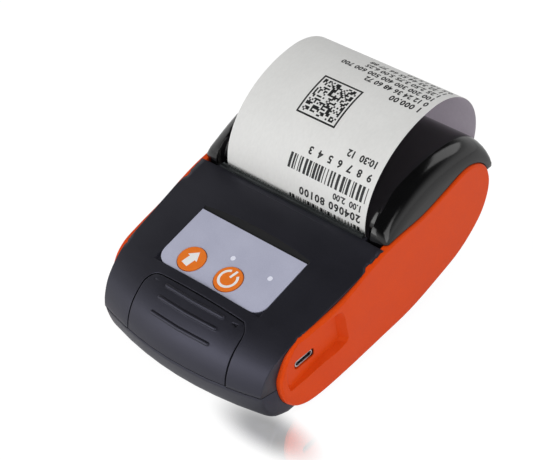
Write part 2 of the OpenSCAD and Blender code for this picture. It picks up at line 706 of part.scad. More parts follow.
bar_z = flap_pin_z - lug_l;
bar_t = 1;
bar_y0 = front + flap_back - knuckle_r - seat_gap;
bar_x = plate_x + plate_t + seat_gap;
bar_in = battery_w / 2 - 3;
bar_low = bar_z - 1.2;
bar_h = 1.6;
jog_y = front + 47.6;
hook_y = slot_y - 2.6;
hook_t = 0.7;
hook_x = bar_x + bar_t + seat_gap;
stem_w = 1.6;
tab_y = hook_y + stem_w + 0.4 + seat_gap;
// Bar that carries the flap's pull to the hook beside the print mechanism
module release_bar() {
    color("#3a3a3e") {
        translate([0, 0, bar_low]) linear_extrude(bar_h) {
            translate([-bar_in - bar_t, bar_y0 - 1.4]) square([flap_x + lug_x + 1 + bar_in + bar_t, 1.4]);
            polygon([[-bar_in - bar_t, bar_y0 - 1], [-bar_in, bar_y0 - 1], [-bar_in, jog_y + 1.2],
                [-bar_x, jog_y + 1.2], [-bar_x, tab_y + 1.2], [-hook_x - hook_t, tab_y + 1.2],
                [-hook_x - hook_t, tab_y], [-bar_x - bar_t, tab_y], [-bar_x - bar_t, jog_y],
                [-bar_in - bar_t, jog_y]]);
        }
    }
}
hook_low = bar_z - 11.5;
hook_pin_d = 2;
catch_z = 31;
module cover_hook() {
    color("#8d9196") difference() {
        side_prism(concat(moved(arc(1.8, 180, 360, 12), [hook_y + stem_w / 2, hook_low]),
            [[hook_y + stem_w, catch_z - 1.5], [slot_y + 0.4, catch_z - 0.5], [slot_y + 0.4, catch_z + 0.4],
            [hook_y + stem_w, catch_z + 1.6], [hook_y, catch_z + 1.6]]),
            -hook_x - hook_t, -hook_x);
        rod(hook_y + stem_w / 2, hook_low, hook_pin_d + 2 * run_gap, -case_w, 0);
    }
}
module hook_pin() {
    color("#c9ccd0") {
        rod(hook_y + stem_w / 2, hook_low, hook_pin_d, -hook_x - hook_t - 0.1, -plate_x);
        rod(hook_y + stem_w / 2, hook_low, hook_pin_d + 1.2, -bar_x - bar_t, -plate_x - plate_t);
    }
}

function cover_section(x, ry, rz, ear, edge) = let (m = len(cover_line) - 1) [for (i = [0:m])
    let (t = unit(cover_line[min(m, i + 1)] - cover_line[max(0, i - 1)]), q = cover_line[i],
        low = i == 0 || i == m, y = low ? (i == 0 ? ry : -ry) : t[1] * ry,
        up = q[0] > cover_front + 12 ? 0 : max(0, min(1, (cover_top - 3 - q[1]) / 6)))
        [x, front + q[0] + y - ear * up, low ? edge : q[1] - t[0] * rz]];
// The cover's outer form, off inside its skin
module cover_block(off, edge) {
    w = cover_half - off;
    step = ear_room_x + (off > 0 ? 2 : 0.4);
    half = concat([[w - cover_r, 0], [step, 0], [step + 1, 1]],
        [for (a = off > 0 ? [46:11:79] : [26:13:78]) [w - cover_r * (1 - sin(a)), 1]], [[w, 1]]);
    arch_solid([for (q = concat(reversed(half), [for (q = half) [-q[0], q[1]]]))
        let (e = 1 - sqrt(max(0, 1 - pow(max(0, (abs(q[0]) - w + cover_r) / cover_r), 2))))
        cover_section(q[0], off + cover_corner_r * e, off + cover_r * e, cover_ear * q[1], edge)]);
}
// Domed cover over the paper roll
module paper_cover() {
    color("#141414") difference() {
        cover_block(0, cover_edge);
        cover_block(cover_wall, cover_edge - 1);
        both_sides() side_prism([for (p = loop_inset(panel_loop, -cover_gap)) p + [front, 0]],
            half_w - 0.2, case_w);
        rod(platen_y, platen_z, platen_d + 2 * seat_gap, -platen_w / 2 - seat_gap, platen_w / 2 + seat_gap);
        rod(platen_y, platen_z, 2 * gear_tip(platen_teeth) + 2 * seat_gap, gear_x - seat_gap,
            gear_x + gear_w + seat_gap);
    }
}

rail_t = 1;
rail_x = gear_x + gear_w + seat_gap;
rail_h = 2.6;
rail_places = [[cover_front + 12, cover_top - 13], [cover_front + 26, cover_top - 11.6]];
beam_z = platen_z + gear_tip(platen_teeth) + seat_gap;
knuckle_x = ear_x - seat_gap - 3;
// Black inner frame that holds the platen and the hinge knuckles
module cover_frame() {
    y0 = front + cover_front + cover_wall + 0.1 + cover_corner_r / 2;
    y1 = hinge_y - 3;
    color("#232326") difference() {
        union() {
            both_sides() {
                side_prism([[y0, cover_edge], [y1, cover_edge], [y1, cover_edge + rail_h],
                    [front + cover_back - 14, cover_top - 9.5], [front + cover_front + 18, cover_top - 9],
                    [front + cover_front + 7, cover_top - 12], [y0, cover_edge + rail_h]],
                    rail_x, rail_x + rail_t);
                side_prism(moved([[-3.2, -3.4], [3.2, -3.4], [3.2, beam_z - platen_z + eps],
                    [-2.2, beam_z - platen_z + eps], [-2.2, 3.4], [-3.2, 2.4]], [platen_y, platen_z]),
                    arm_x, arm_x + arm_t);
                difference() {
                    union() {
                        side_prism(moved([[-4.6, 2.6], [-2, 2.6], [-2, 0], [0, 0], [1, 1.9], [0.4, 2.2],
                            [-1, 2.2], [-1, 5], [-4.6, 5]], [hinge_y, hinge_z]), knuckle_x, knuckle_x + 3);
                        rod(hinge_y, hinge_z, knuckle_d, knuckle_x, knuckle_x + 3);
                    }
                    rod(hinge_y, hinge_z, hinge_pin_d + 2 * run_gap, knuckle_x - 1, knuckle_x + 4);
                }
            }
            block([-rail_x - rail_t, y0, beam_z], [rail_x + rail_t, y0 + 6, beam_z + 1.6]);
            block([-rail_x - rail_t, y1 - 1.6, cover_edge + eps], [rail_x + rail_t, y1, cover_edge + rail_h]);
            block([-hook_x - hook_t, slot_y + 1.2, catch_z - 2.6], [-hook_x, slot_y + 4, catch_z - 0.6]);
            block([-hook_x - hook_t, slot_y + 2.8, catch_z - 2.6], [-hook_x, slot_y + 4.6, beam_z + 0.8]);
        }
        rod(platen_y, platen_z, shaft_d + 2 * run_gap, -case_w, case_w);
    }
}
module cover_screws() {
    color("#c9ccd0") both_sides() for (p = rail_places)
        rod(front + p[0], p[1], 1.6, rail_x - 0.6, rail_x, 24);
}
module hinge_pins() {
    color("#c9ccd0") both_sides() rod(hinge_y, hinge_z, hinge_pin_d, knuckle_x - 0.2, ear_x + ear_t);
}

module platen_rubber() {
    color("#26262a") difference() {
        rod(platen_y, platen_z, platen_d, -platen_w / 2, platen_w / 2, 64);
        rod(platen_y, platen_z, shaft_d, -case_w, case_w);
    }
}
module platen_shaft() {
    color("#c9ccd0") difference() {
        rod(platen_y, platen_z, shaft_d, -plate_x - plate_t - 0.2, gear_x + gear_w + 0.2);
        block([gear_x, platen_y - 3, platen_z + shaft_d / 2 - 0.5], [case_w, platen_y + 3, clear_z]);
    }
}
module platen_bushings() {
    color("#e4e1d4") both_sides() difference() {
        rod(platen_y, platen_z, bush_d, plate_x, plate_x + plate_t);
        rod(platen_y, platen_z, shaft_d + 2 * run_gap, 0, case_w);
    }
}
bush_d = shaft_d + 2;

function gear_tip(n) = gear_m * n / 2 + 0.9 * gear_m;
// Involute outline of a spur gear, with a tooth on the first axis
function involute(rb, r) = let (t = sqrt(max(0, r * r / (rb * rb) - 1))) t * 180 / PI - atan(t);
function gear_line(n) = let (rp = gear_m * n / 2, rb = rp * cos(20), ra = gear_tip(n),
    rr = rp - 1.2 * gear_m, half = 90 / n - 0.05 / rp * 180 / PI + involute(rb, rp),
    low = max(rb, rr), rs = [for (i = [0:4]) low + (ra - low) * i / 4])
    [for (k = [0:n - 1]) each concat(
        [rr * [cos(360 * k / n - half), sin(360 * k / n - half)]],
        [for (r = rs) let (a = 360 * k / n - half + involute(rb, r)) r * [cos(a), sin(a)]],
        [for (r = reversed(rs)) let (a = 360 * k / n + half - involute(rb, r)) r * [cos(a), sin(a)]],
        [rr * [cos(360 * k / n + half), sin(360 * k / n + half)]])];
module gear(n, y, z, turn, bore) {
    difference() {
        translate([gear_x, y, z]) rotate([90, 0, 90]) rotate([0, 0, turn])
            linear_extrude(gear_w) polygon(gear_line(n));
        rod(y, z, bore, 0, case_w);
    }
}
module platen_gear() {
    color("#e4e1d4") difference() {
        gear(platen_teeth, platen_y, platen_z, -90, 0.1);
        intersection() {
            rod(platen_y, platen_z, shaft_d, 0, case_w);
            block([0, platen_y - 3, 0], [case_w, platen_y + 3, platen_z + shaft_d / 2 - 0.5]);
        }
    }
}
module idler_gear() {
    color("#e4e1d4") gear(idler_teeth, platen_y, idler_z, 90 + 180 / idler_teeth, pin_d + 2 * run_gap);
}
pin_d = 3;
module idler_pin() {
    color("#c9ccd0") rod(platen_y, idler_z, pin_d, plate_x, gear_x + gear_w + 0.3);
}
module motor_pinion() {
    color("#b59243") {
        gear(pinion_teeth, motor_y, idler_z, 0, 0.2);
        rod(motor_y, idler_z, motor_shaft_d, plate_x - 2, gear_x + gear_w);
    }
}
motor_shaft_d = 1.5;
motor_boss_d = 4;
motor_x = plate_x - seat_gap - motor_l;
module feed_motor() {
    color("#9a9da2") difference() {
        union() {
            rod(motor_y, idler_z, motor_d, motor_x, plate_x);
            rod(motor_y, idler_z, motor_boss_d, plate_x - eps, plate_x + plate_t + 0.1);
            block([motor_x + 2, motor_y - motor_d / 2 - 1, idler_z - 4],
                [motor_x + 9, motor_y - 2, idler_z + 4]);
        }
        rod(motor_y, idler_z, motor_shaft_d + 2 * run_gap, plate_x - 2.2, case_w);
    }
}

frame_y0 = motor_y - 4;
frame_y1 = platen_y + 4.4;
head_pivot_y = head_y - head_t - sink_t / 2;
head_pivot_z = sink_low + 1.8;
plate_low = floor_z;
floor_end = slot_y - 0.3;
beam_y = head_y - head_t - sink_t - 3.4;
// Side plates of the print mechanism, joined by a floor and a front beam
module print_frame() {
    color("#3a3a3e") {
        both_sides() difference() {
            side_prism([[frame_y0, plate_low], [floor_end, plate_low], [frame_y1, plate_low + 3],
                [frame_y1, platen_z + 1.4], [beam_y - 1.4, platen_z + 1.4], [frame_y0, platen_z - 6]],
                plate_x, plate_x + plate_t);
            rod(platen_y, platen_z, bush_d + 0.2, 0, case_w);
            block([0, platen_y - bush_d / 2 - 0.3, platen_z], [case_w, platen_y + bush_d / 2 + 0.3, clear_z]);
            rod(hook_y + stem_w / 2, hook_low, hook_pin_d, 0, case_w);
            rod(head_pivot_y, head_pivot_z, head_pin_d + 2 * run_gap, 0, case_w);
            rod(motor_y, idler_z, motor_boss_d, 0, case_w);
            rod(platen_y, idler_z, pin_d, 0, case_w);
        }
        block([-plate_x - eps, frame_y0, plate_low], [plate_x + eps, floor_end, plate_low + 1.2]);
        block([-plate_x - eps, beam_y - 1.4, platen_z - 2.6], [plate_x + eps, beam_y, platen_z + 1.4]);
    }
}
head_pin_d = 2.4;
module heat_sink() {
    y = head_y - head_t - sink_t;
    color("#b9bcc0") {
        block([-plate_x + 0.4, y, sink_low], [plate_x - 0.4, y + sink_t, platen_z + 3.2]);
        both_sides() rod(head_pivot_y, head_pivot_z, head_pin_d, plate_x - 1, plate_x + plate_t);
    }
}
module print_head() {
    color("#e9e6da") block([-paper_w / 2, head_y - head_t, platen_z - 4.4],
        [paper_w / 2, head_y, platen_z + 2.6]);
}
module head_springs() {
    color("#c9ccd0") for (x = [-14, 14]) translate([x, beam_y, platen_z - 0.6]) rotate([-90, 0, 0])
        difference() {
            cylinder(d = 3.2, h = 3.4 - seat_gap - 0.1);
            translate([0, 0, -1]) cylinder(d = 2.2, h = 8);
        }
}

bin_low = roll_z - roll_d / 2 + 2;
belly_in = [for (q = side_of(belly_line, wall)) if (q[0] > slot_back && q[1] < 20) q + [front, 0]];
function floor_at(y) = lookup(y, belly_in);
function bin_floor(y) = bin_z - sqrt(pow(bin_r + bin_t / 2, 2) - pow(y - bin_y, 2));
// Trough for the paper roll, open at the top
module paper_bin() {
    a0 = asin((bin_z - bin_low) / bin_r);
    inner = moved(arc(bin_r, 180 + a0, 360, 20), [bin_y, bin_z]);
    outer = moved(arc(bin_r + bin_t, 180 + a0, 360, 20), [bin_y, bin_z]);
    color("#3a3a3e") {
        side_prism(concat([[inner[0][0], bin_low]], inner, [[bin_y + bin_r, cover_edge - 1],
            [bin_y + bin_r + bin_t, cover_edge - 1]], reversed(outer)), -bin_x - bin_t, bin_x + bin_t);
        both_sides() side_prism(concat([[bin_y - bin_r, bin_z - 2.2]], [outer[0]], outer,
            [[bin_y + bin_r + bin_t, cover_edge - 1], [bin_y - bin_r + 3, cover_edge - 1]]),
            bin_x, bin_x + bin_t);
        both_sides() for (y = [bin_y - 9, bin_y + 4])
            side_prism([[y, floor_at(y) + 0.2], [y + 3, floor_at(y + 3) + 0.2],
                [y + 3, bin_floor(y + 3)], [y, bin_floor(y)]], bin_x - 3, bin_x - 1.6);
    }
}
module paper_roll() {
    color("#f1f1ee") difference() {
        rod(bin_y, roll_z, roll_d, -paper_w / 2, paper_w / 2, 72);
        rod(bin_y, roll_z, core_d, -case_w, case_w);
    }
}
module roll_core() {
    color("#b79b74") difference() {
        rod(bin_y, roll_z, core_d, -paper_w / 2, paper_w / 2);
        rod(bin_y, roll_z, core_bore, -case_w, case_w);
    }
}

web_t = 0.1;
web_r1 = platen_d / 2 + nip_gap / 2;
web_r2 = roll_d / 2 + seat_gap;
web_gap = norm([bin_y - platen_y, roll_z - platen_z]);
web_tilt = atan2(roll_z - platen_z, bin_y - platen_y) - asin((web_r2 - web_r1) / web_gap);
web_mid = concat(moved(arc(web_r1, 182, 270 + web_tilt, 12), [platen_y, platen_z]),
    [[bin_y, roll_z] + web_r2 * [sin(web_tilt), -cos(web_tilt)]]);
// Paper between the roll and the nip, under the platen
module paper_web() {
    color("#f1f1ee") side_prism(concat(side_of(web_mid, web_t / 2), reversed(side_of(web_mid, -web_t / 2))),
        -paper_w / 2, paper_w / 2);
}

foot_of_strip = platen_z + 2.8;
strip_mid = concat([[slot_y, foot_of_strip]],
    [for (i = [0:20]) let (a = 180 - 4.5 * i)
        [slot_y + crest_back + crest_back * cos(a), slot_z - 0.4 + (crest_z - slot_z + 0.4) * sin(a)]],
    [for (i = [1:20]) let (a = 90 - (90 + curl_turn) * i / 20)
        [slot_y + crest_back + (curl_back - crest_back) * cos(a), crest_z - curl_drop + curl_drop * sin(a)]]);
// Curled strip that stands in the slot and hangs over the cover
module paper_strip() {
    color("#f1f1ee") side_prism(concat(side_of(strip_mid, paper_t / 2), reversed(side_of(strip_mid, -paper_t / 2))),
        -paper_w / 2, paper_w / 2);
}

module main_board() {
    color("#1f6b3a") block([-board_w / 2, board_front, board_top - board_t],
        [board_w / 2, board_back, board_top]);
}
socket_l = 5.6;
socket_x = half_w - wall - socket_l + 1.2;
module usb_socket() {
    y = front + port_back;
    color("#c9ccd0") {
        difference() {
            port_form(socket_x, socket_x + socket_l, port_w - 0.6, port_h - 0.6);
            port_form(socket_x + 1, case_w, port_w - 1.4, port_h - 1.4);
        }
        block([socket_x + 0.5, y - 2.2, port_z - 0.3], [socket_x + socket_l - 0.6, y + 2.2, port_z + 0.2]);
        block([board_w / 2 - 4, y - 2.6, board_top], [socket_x + 0.9, y + 2.6, port_z]);
    }
}
module board_parts() {
    color("#2a2a2c") {
        block([-18, board_front + 3, board_top], [-4, board_front + 15, board_top + 1.6]);
        block([2, board_front + 18, board_top], [9, board_front + 25, board_top + 1.2]);
        block([-20, board_front + 20, board_top], [-12, board_front + 27, board_top + 3]);
        block([12, board_back - 4, board_top], [26, board_back, board_top + 3]);
    }
}
battery_z = floor_z + 0.3;
module battery_pack() {
    color("#3c5f8a") for (s = [-1, 1]) block([s < 0 ? -battery_w / 2 : 0.15, board_front, battery_z],
        [s < 0 ? -0.15 : battery_w / 2, board_front + battery_l, battery_z + battery_h]);
}
module battery_door() {
    color("#2b2b2f") difference() {
        block([-door_w / 2, door_y, base_z], [door_w / 2, door_y + door_l, floor_z]);
        translate([0, door_y + door_l - 4.5, base_z - 5.4]) sphere(r = 6.2);
    }
}
module battery_contacts() {
    color("#c9ccd0") for (x = [-6, 0, 6]) {
        block([x - 1, board_front + battery_l, battery_z + 2], [x + 1, board_front + battery_l + 0.6, board_top - board_t]);
        block([x - 1, board_front + battery_l - 3, board_top - board_t - 0.6],
            [x + 1, board_front + battery_l + 0.6, board_top - board_t]);
    }
}
module case_screws() {
    color("#8d9196") for (s = [-1, 1], p = boss_places)
        translate([s * p[0], front + p[1], base_z + screw_in - 0.6]) difference() {
            union() {
                cylinder(d = screw_head_d, h = 0.6);
                cylinder(d = screw_d - 0.2, h = seam_z + screw_up - base_z - screw_in + 0.6);
            }
            translate([0, 0, -1]) cylinder(d = 1.6, h = 1.4, $fn = 6);
        }
}
module rubber_feet() {
    color("#1b1b1d") for (p = foot_places)
        translate([p[0], p[1], 0]) cylinder(d = foot_d, h = base_z + foot_in);
}

bottom_shell();
top_shell();
right_side_panel();
left_side_panel();
control_label();
feed_button();
power_button();
status_lights();
key_board();
tear_bar();
release_flap();
flap_pin();
flap_spring();
release_bar();
cover_hook();
hook_pin();
paper_cover();
cover_frame();
cover_screws();
hinge_pins();
platen_rubber();
platen_shaft();
platen_gear();
platen_bushings();
print_frame();
print_head();
heat_sink();
head_springs();
feed_motor();
motor_pinion();
idler_gear();
idler_pin();
paper_bin();
paper_roll();
roll_core();
paper_web();
paper_strip();
main_board();
usb_socket();
board_parts();
battery_pack();
battery_door();
battery_contacts();
case_screws();
rubber_feet();
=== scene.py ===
"""Looks of a portable receipt printer: finishes, moulded edges, printed marks, springs, screws and the stage.

Lengths are in metres in the part's frame: +X is the side with the charging socket, -Y the front, +Z up.
"""

import math
import random

import bmesh
import bpy
from mathutils import Matrix, Vector


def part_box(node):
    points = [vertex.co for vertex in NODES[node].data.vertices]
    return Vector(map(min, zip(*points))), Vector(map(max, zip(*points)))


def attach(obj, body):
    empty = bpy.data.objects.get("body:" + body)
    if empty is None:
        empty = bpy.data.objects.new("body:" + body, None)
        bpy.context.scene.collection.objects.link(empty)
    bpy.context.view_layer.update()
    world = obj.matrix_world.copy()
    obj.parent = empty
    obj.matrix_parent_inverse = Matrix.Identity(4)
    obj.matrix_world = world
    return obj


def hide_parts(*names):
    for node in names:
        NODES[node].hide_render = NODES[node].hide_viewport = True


bl_info = {
    "name": "Portable Receipt Printer",
    "version": (1, 0, 0),
    "blender": (4, 5, 0),
    "location": "View3D > Sidebar > Printer",
    "description": "Dresses the packed receipt printer with its finishes, prints and small parts",
    "category": "Object",
}

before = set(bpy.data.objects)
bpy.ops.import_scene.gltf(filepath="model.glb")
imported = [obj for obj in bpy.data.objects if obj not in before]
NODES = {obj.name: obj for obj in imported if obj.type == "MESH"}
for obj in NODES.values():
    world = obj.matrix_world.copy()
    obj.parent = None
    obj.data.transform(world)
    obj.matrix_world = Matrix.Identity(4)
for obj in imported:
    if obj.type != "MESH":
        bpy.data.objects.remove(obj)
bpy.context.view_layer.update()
MM = 0.001


# Colours and nodes

def srgb(code):
    """Linear colour, with alpha, of an sRGB hex code."""
    parts = [int(code[i:i + 2], 16) / 255 for i in (0, 2, 4)]
    return tuple(c / 12.92 if c <= 0.04045 else ((c + 0.055) / 1.055) ** 2.4 for c in parts) + (1.0,)


def add_node(tree, kind, inputs=None, **settings):
    """Adds a node with its settings. An input's value is a socket to link from, or a plain value."""
    node = tree.nodes.new(kind)
    for name, value in settings.items():
        setattr(node, name, value)
    for key, value in (inputs or {}).items():
        if isinstance(value, bpy.types.NodeSocket):
            tree.links.new(value, node.inputs[key])
        else:
            node.inputs[key].default_value = value
    return node


def finish(name, low, high, rough, grain, relief, kind="ShaderNodeTexNoise", stretch=(1, 1, 1), mottle=9.0,
           settings=None, edge=0.0, **uniform):
    """Material whose fine pattern gives colour, roughness and relief, over a wide, weak mottling.

    low and high are its darkest and lightest colours, rough its least and most roughness, grain the
    pattern's spacing in mm, relief its height in mm, stretch the pattern's scale along each axis, mottle
    the mottling's spacing in mm, edge the radius in mm that the shading gives to moulded edges, and uniform
    the values of the shader's own sockets.
    """
    material = bpy.data.materials.get(name)
    if material:
        return material
    material = bpy.data.materials.new(name)
    material.use_nodes = True
    tree = material.node_tree
    tree.nodes.clear()
    place = add_node(tree, "ShaderNodeTexCoord").outputs["Object"]
    fine = add_node(tree, kind, {
        "Vector": add_node(tree, "ShaderNodeMapping", {"Vector": place, "Scale": stretch}).outputs[0],
        "Scale": 1000 / grain}, **(settings or {})).outputs[0]
    wide = add_node(tree, "ShaderNodeTexNoise", {"Vector": place, "Scale": 1000 / mottle, "Detail": 3}).outputs[0]
    both = add_node(tree, "ShaderNodeMath", {0: fine, 1: wide}, operation="ADD").outputs[0]
    level = add_node(tree, "ShaderNodeMapRange", {
        "Value": both, "From Min": 0.6, "From Max": 1.4, "To Min": 0, "To Max": 1}).outputs[0]
    colour = add_node(tree, "ShaderNodeMix", {0: level, 6: srgb(low), 7: srgb(high)}, data_type="RGBA").outputs[2]
    sheen = add_node(tree, "ShaderNodeMapRange", {
        "Value": both, "From Min": 0.6, "From Max": 1.4, "To Min": rough[0], "To Max": rough[1]}).outputs[0]
    relief_inputs = {"Height": fine, "Strength": 1, "Distance": relief * MM}
    if edge:
        relief_inputs["Normal"] = add_node(tree, "ShaderNodeBevel", {"Radius": edge * MM}, samples=6).outputs[0]
    bump = add_node(tree, "ShaderNodeBump", relief_inputs).outputs[0]
    shader = add_node(tree, "ShaderNodeBsdfPrincipled", {"Base Color": colour, "Roughness": sheen, "Normal": bump})
    for socket, value in uniform.items():
        shader.inputs[socket.replace("_", " ")].default_value = value
    add_node(tree, "ShaderNodeOutputMaterial", {"Surface": shader.outputs[0]})
    return material


# Finishes

def spark_eroded_abs():
    """Black ABS from a spark-eroded mould: near black, with a fine satin grain and no clear reflection.
    The real grain is 0.1 mm, drawn at 0.45 mm so that it shows."""
    return finish("spark_eroded_black_abs", "1a1a1f", "242429", (0.38, 0.50), 0.45, 0.004, mottle=14.0, edge=0.35,
                  Specular_IOR_Level=0.62, Specular_Tint=srgb("dcdcfa"))


def painted_shade_abs():
    """The same black ABS painted darker on the ramp behind the label, as painted shade where the deck's edge keeps most
    of the light off.
    """
    return finish("painted_shade_black_abs", "08080b", "0f0f13", (0.55, 0.68), 0.6, 0.006, mottle=14.0,
                  Specular_IOR_Level=0.25)


def polished_abs():
    """Black ABS from a polished mould: deep black, with long clear highlights and a slight waviness."""
    return finish("polished_black_abs", "060607", "0a0a0b", (0.12, 0.18), 7.0, 0.005, mottle=25.0, edge=0.4,
                  Specular_IOR_Level=0.5)


def painted_panel():
    """Orange ABS under a satin soft-feel paint: even, warm colour with a broad highlight and faint spray texture."""
    return finish("satin_orange_paint", "dc430a", "e64c0e", (0.38, 0.48), 0.5, 0.003, mottle=12.0, edge=0.35,
                  Specular_IOR_Level=0.22, Specular_Tint=srgb("ffc4a0"))


def label_film():
    """Screen-printed polyester film, silver-lavender with a pearl grain and a soft sheen."""
    return finish("pearl_silver_film", "b0b2c7", "bcbed2", (0.36, 0.48), 0.35, 0.002, mottle=8.0,
                  Specular_IOR_Level=0.3)


def button_skin():
    """Orange film over the domes of the keys: flat, clean colour with a light satin sheen."""
    return finish("satin_orange_film", "ec741c", "f28026", (0.36, 0.46), 0.4, 0.003, mottle=5.0,
                  Specular_IOR_Level=0.25)


def white_ink():
    """White screen ink: opaque, slightly raised, with the weave of the screen as a faint grain."""
    return finish("white_screen_ink", "ececea", "f6f6f4", (0.45, 0.6), 0.25, 0.002)


def light_lens():
    """Clear polycarbonate light pipe over a white board: reads as a pale, slightly cool dot, with a faint painted glow
    though the light is not lit.
    """
    return finish("frosted_light_pipe", "dcdeec", "e8eaf6", (0.15, 0.3), 0.6, 0.002,
                  # The faint emission is a painted glow.
                  Emission_Color=srgb("eceeff"), Emission_Strength=0.1)


def thermal_paper():
    """Coated thermal paper: off-white and smooth, with a very faint fibre cloud."""
    return finish("coated_thermal_paper", "e2e2e0", "eaeae8", (0.55, 0.7), 0.8, 0.002, stretch=(1, 0.5, 0.5),
                  mottle=16.0)


def paper_back():
    """Uncoated back of the paper: faintly mauve, with more fibre, and a faint painted glow in place of the light that
    comes through.
    """
    return finish("uncoated_paper_back", "dcd4de", "e6dee8", (0.7, 0.85), 0.8, 0.003, stretch=(1, 0.5, 0.5),
                  # The faint emission is painted light standing in for light through the paper.
                  mottle=10.0, Emission_Color=srgb("d8ccdc"), Emission_Strength=0.1)


def thermal_print():
    """Heat-blackened coating: charcoal rather than black, broken by the head's rows of dots.
    The real dots are 0.125 mm apart, drawn at 0.4 mm."""
    return finish("charcoal_thermal_print", "0d0d0e", "1d1d1f", (0.5, 0.65), 0.4, 0.001, mottle=3.0)


def rolled_paper():
    """Wound paper seen at its edge: pale, with fine rings. The real layers are 0.06 mm, drawn at 0.5 mm."""
    return finish("wound_thermal_paper", "cfcfcc", "ecece9", (0.6, 0.75), 0.5 * 3.1, 0.004,
                  kind="ShaderNodeTexWave", settings={"wave_type": "RINGS", "rings_direction": "X"})


def bright_steel():
    """Drawn and polished steel: bright, with fine lines along the bar."""
    return finish("drawn_bright_steel", "aeb0b3", "c8cacd", (0.22, 0.36), 0.3, 0.002, stretch=(0.1, 1, 1), Metallic=1.0)


def zinc_plate():
    """Zinc-plated steel: mid grey, softly mottled."""
    return finish("zinc_plated_steel", "85888c", "a2a5a9", (0.32, 0.5), 1.2, 0.003, kind="ShaderNodeTexVoronoi",
                  mottle=3.0, Metallic=1.0)


def sheared_steel():
    """Sheared stainless strip: dull grey, with cross-brushing that catches little light."""
    return finish("brushed_grey_steel", "3f4343", "5c6061", (0.35, 0.5), 0.3, 0.002, stretch=(1, 0.15, 1),
                  Metallic=0.9)


def filled_nylon():
    """Glass-filled nylon: dark charcoal, matte, with short pale fibre streaks."""
    return finish("glass_filled_nylon", "232326", "36363a", (0.55, 0.72), 0.6, 0.006, stretch=(0.35, 1, 1), mottle=4.0)


def natural_acetal():
    """Natural acetal: creamy white and waxy."""
    return finish("natural_acetal", "dcd9cc", "ebe8dd", (0.35, 0.48), 0.8, 0.002, Subsurface_Weight=0.1,
                  Subsurface_Scale=0.002)


def turned_brass():
    """Turned brass: warm yellow metal with fine tool rings."""
    return finish("turned_brass", "a8853f", "c6a25a", (0.22, 0.38), 0.4, 0.003, stretch=(1, 0.2, 0.2), Metallic=1.0)


def moulded_rubber():
    """Black nitrile rubber: matte, slightly grey, with a ground surface."""
    return finish("ground_black_rubber", "151516", "232325", (0.7, 0.88), 0.35, 0.008)


def spiral_card():
    """Spiral-wound grey card tube: brown-grey, fibrous and matte."""
    return finish("spiral_wound_card", "9c8561", "b8a07a", (0.75, 0.9), 0.7, 0.006, stretch=(1, 0.3, 0.3))


def glazed_ceramic():
    """Glazed alumina strip: ivory and glossy, with a faint cloud under the glaze."""
    return finish("glazed_alumina", "dedbd0", "efece4", (0.1, 0.2), 1.0, 0.001, Coat_Weight=0.3)


def cast_aluminium():
    """Extruded aluminium: light grey metal with lines along the strip."""
    return finish("extruded_aluminium", "9fa1a4", "b9bbbe", (0.32, 0.48), 0.4, 0.003, stretch=(0.1, 1, 1), Metallic=1.0)


def solder_mask():
    """Green solder mask over copper: glossy, with the traces as slightly raised, lighter lines 0.8 mm apart."""
    return finish("green_solder_mask", "0f4526", "2a7a48", (0.22, 0.36), 1.6, 0.020, kind="ShaderNodeTexBrick",
                  mottle=6.0)


def epoxy_package():
    """Moulded epoxy packages: charcoal black with a fine ground grain."""
    return finish("moulded_black_epoxy", "1c1c1e", "2b2b2e", (0.45, 0.6), 0.4, 0.004)


def shrink_film():
    """Blue shrink film over two cells: glossy, with gentle wrinkles along its length."""
    return finish("blue_shrink_film", "274a7c", "38609a", (0.16, 0.3), 5.0, 0.06, stretch=(1, 0.4, 1), mottle=12.0,
                  Coat_Weight=0.3)


# Pieces

def add_piece(name, mesh, body, material, slot, *nodes):
    """A finished piece that rides on a body, takes a finish and stands for some nodes. Its slot is not used."""
    mesh.name = name
    mesh.materials.clear()
    mesh.materials.append(material)
    piece = bpy.data.objects.new(name, mesh)
    bpy.context.scene.collection.objects.link(piece)
    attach(piece, body)
    if nodes:
        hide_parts(*nodes)
    return piece


def evaluated(thing):
    """Plain mesh of an object with its modifiers applied. The object is removed."""
    shape = bpy.data.meshes.new_from_object(thing.evaluated_get(bpy.context.evaluated_depsgraph_get()))
    bpy.data.objects.remove(thing)
    return shape


def merged(node):
    """A node's mesh with its loose triangles merged."""
    shape = bmesh.new()
    shape.from_mesh(NODES[node].data)
    bmesh.ops.remove_doubles(shape, verts=shape.verts, dist=0.002 * MM)
    bmesh.ops.dissolve_degenerate(shape, dist=0.001 * MM, edges=shape.edges)
    bmesh.ops.dissolve_limit(shape, angle_limit=math.radians(0.1), verts=shape.verts, edges=shape.edges)
    mesh = bpy.data.meshes.new(node)
    shape.to_mesh(mesh)
    shape.free()
    for layer in ("custom_normal", "sharp_face", "sharp_edge"):
        if layer in mesh.attributes:
            mesh.attributes.remove(mesh.attributes[layer])
    mesh.shade_smooth()
    return mesh


def without(mesh, cutter):
    """A mesh with a closed mesh taken out of it."""
    things = [bpy.data.objects.new("cut", m) for m in (mesh, cutter)]
    for thing in things:
        bpy.context.scene.collection.objects.link(thing)
    cut = things[0].modifiers.new("Cut", "BOOLEAN")
    cut.operation = "DIFFERENCE"
    cut.solver = "EXACT"
    cut.object = things[1]
    shape = evaluated(things[0])
    bpy.data.objects.remove(things[1])
    shape.shade_smooth()
    return shape


def moulded(node, edge=0.0, turn=30, steps=2, even=True, mesh=None):
    """A node's mesh, or one made from it, with its sharp edges rounded to a radius and even shading over its
    flat faces."""
    mesh = mesh or merged(node)
    thing = bpy.data.objects.new(node, mesh)
    bpy.context.scene.collection.objects.link(thing)
    if edge:
        bevel = thing.modifiers.new("Moulded edges", "BEVEL")
        bevel.width = edge
        bevel.segments = steps
        bevel.limit_method = "ANGLE"
        bevel.angle_limit = math.radians(turn)
    else:
        mesh.set_sharp_from_angle(angle=math.radians(turn))
    if even:
        thing.modifiers.new("Even shading", "WEIGHTED_NORMAL").keep_sharp = True
    return evaluated(thing)


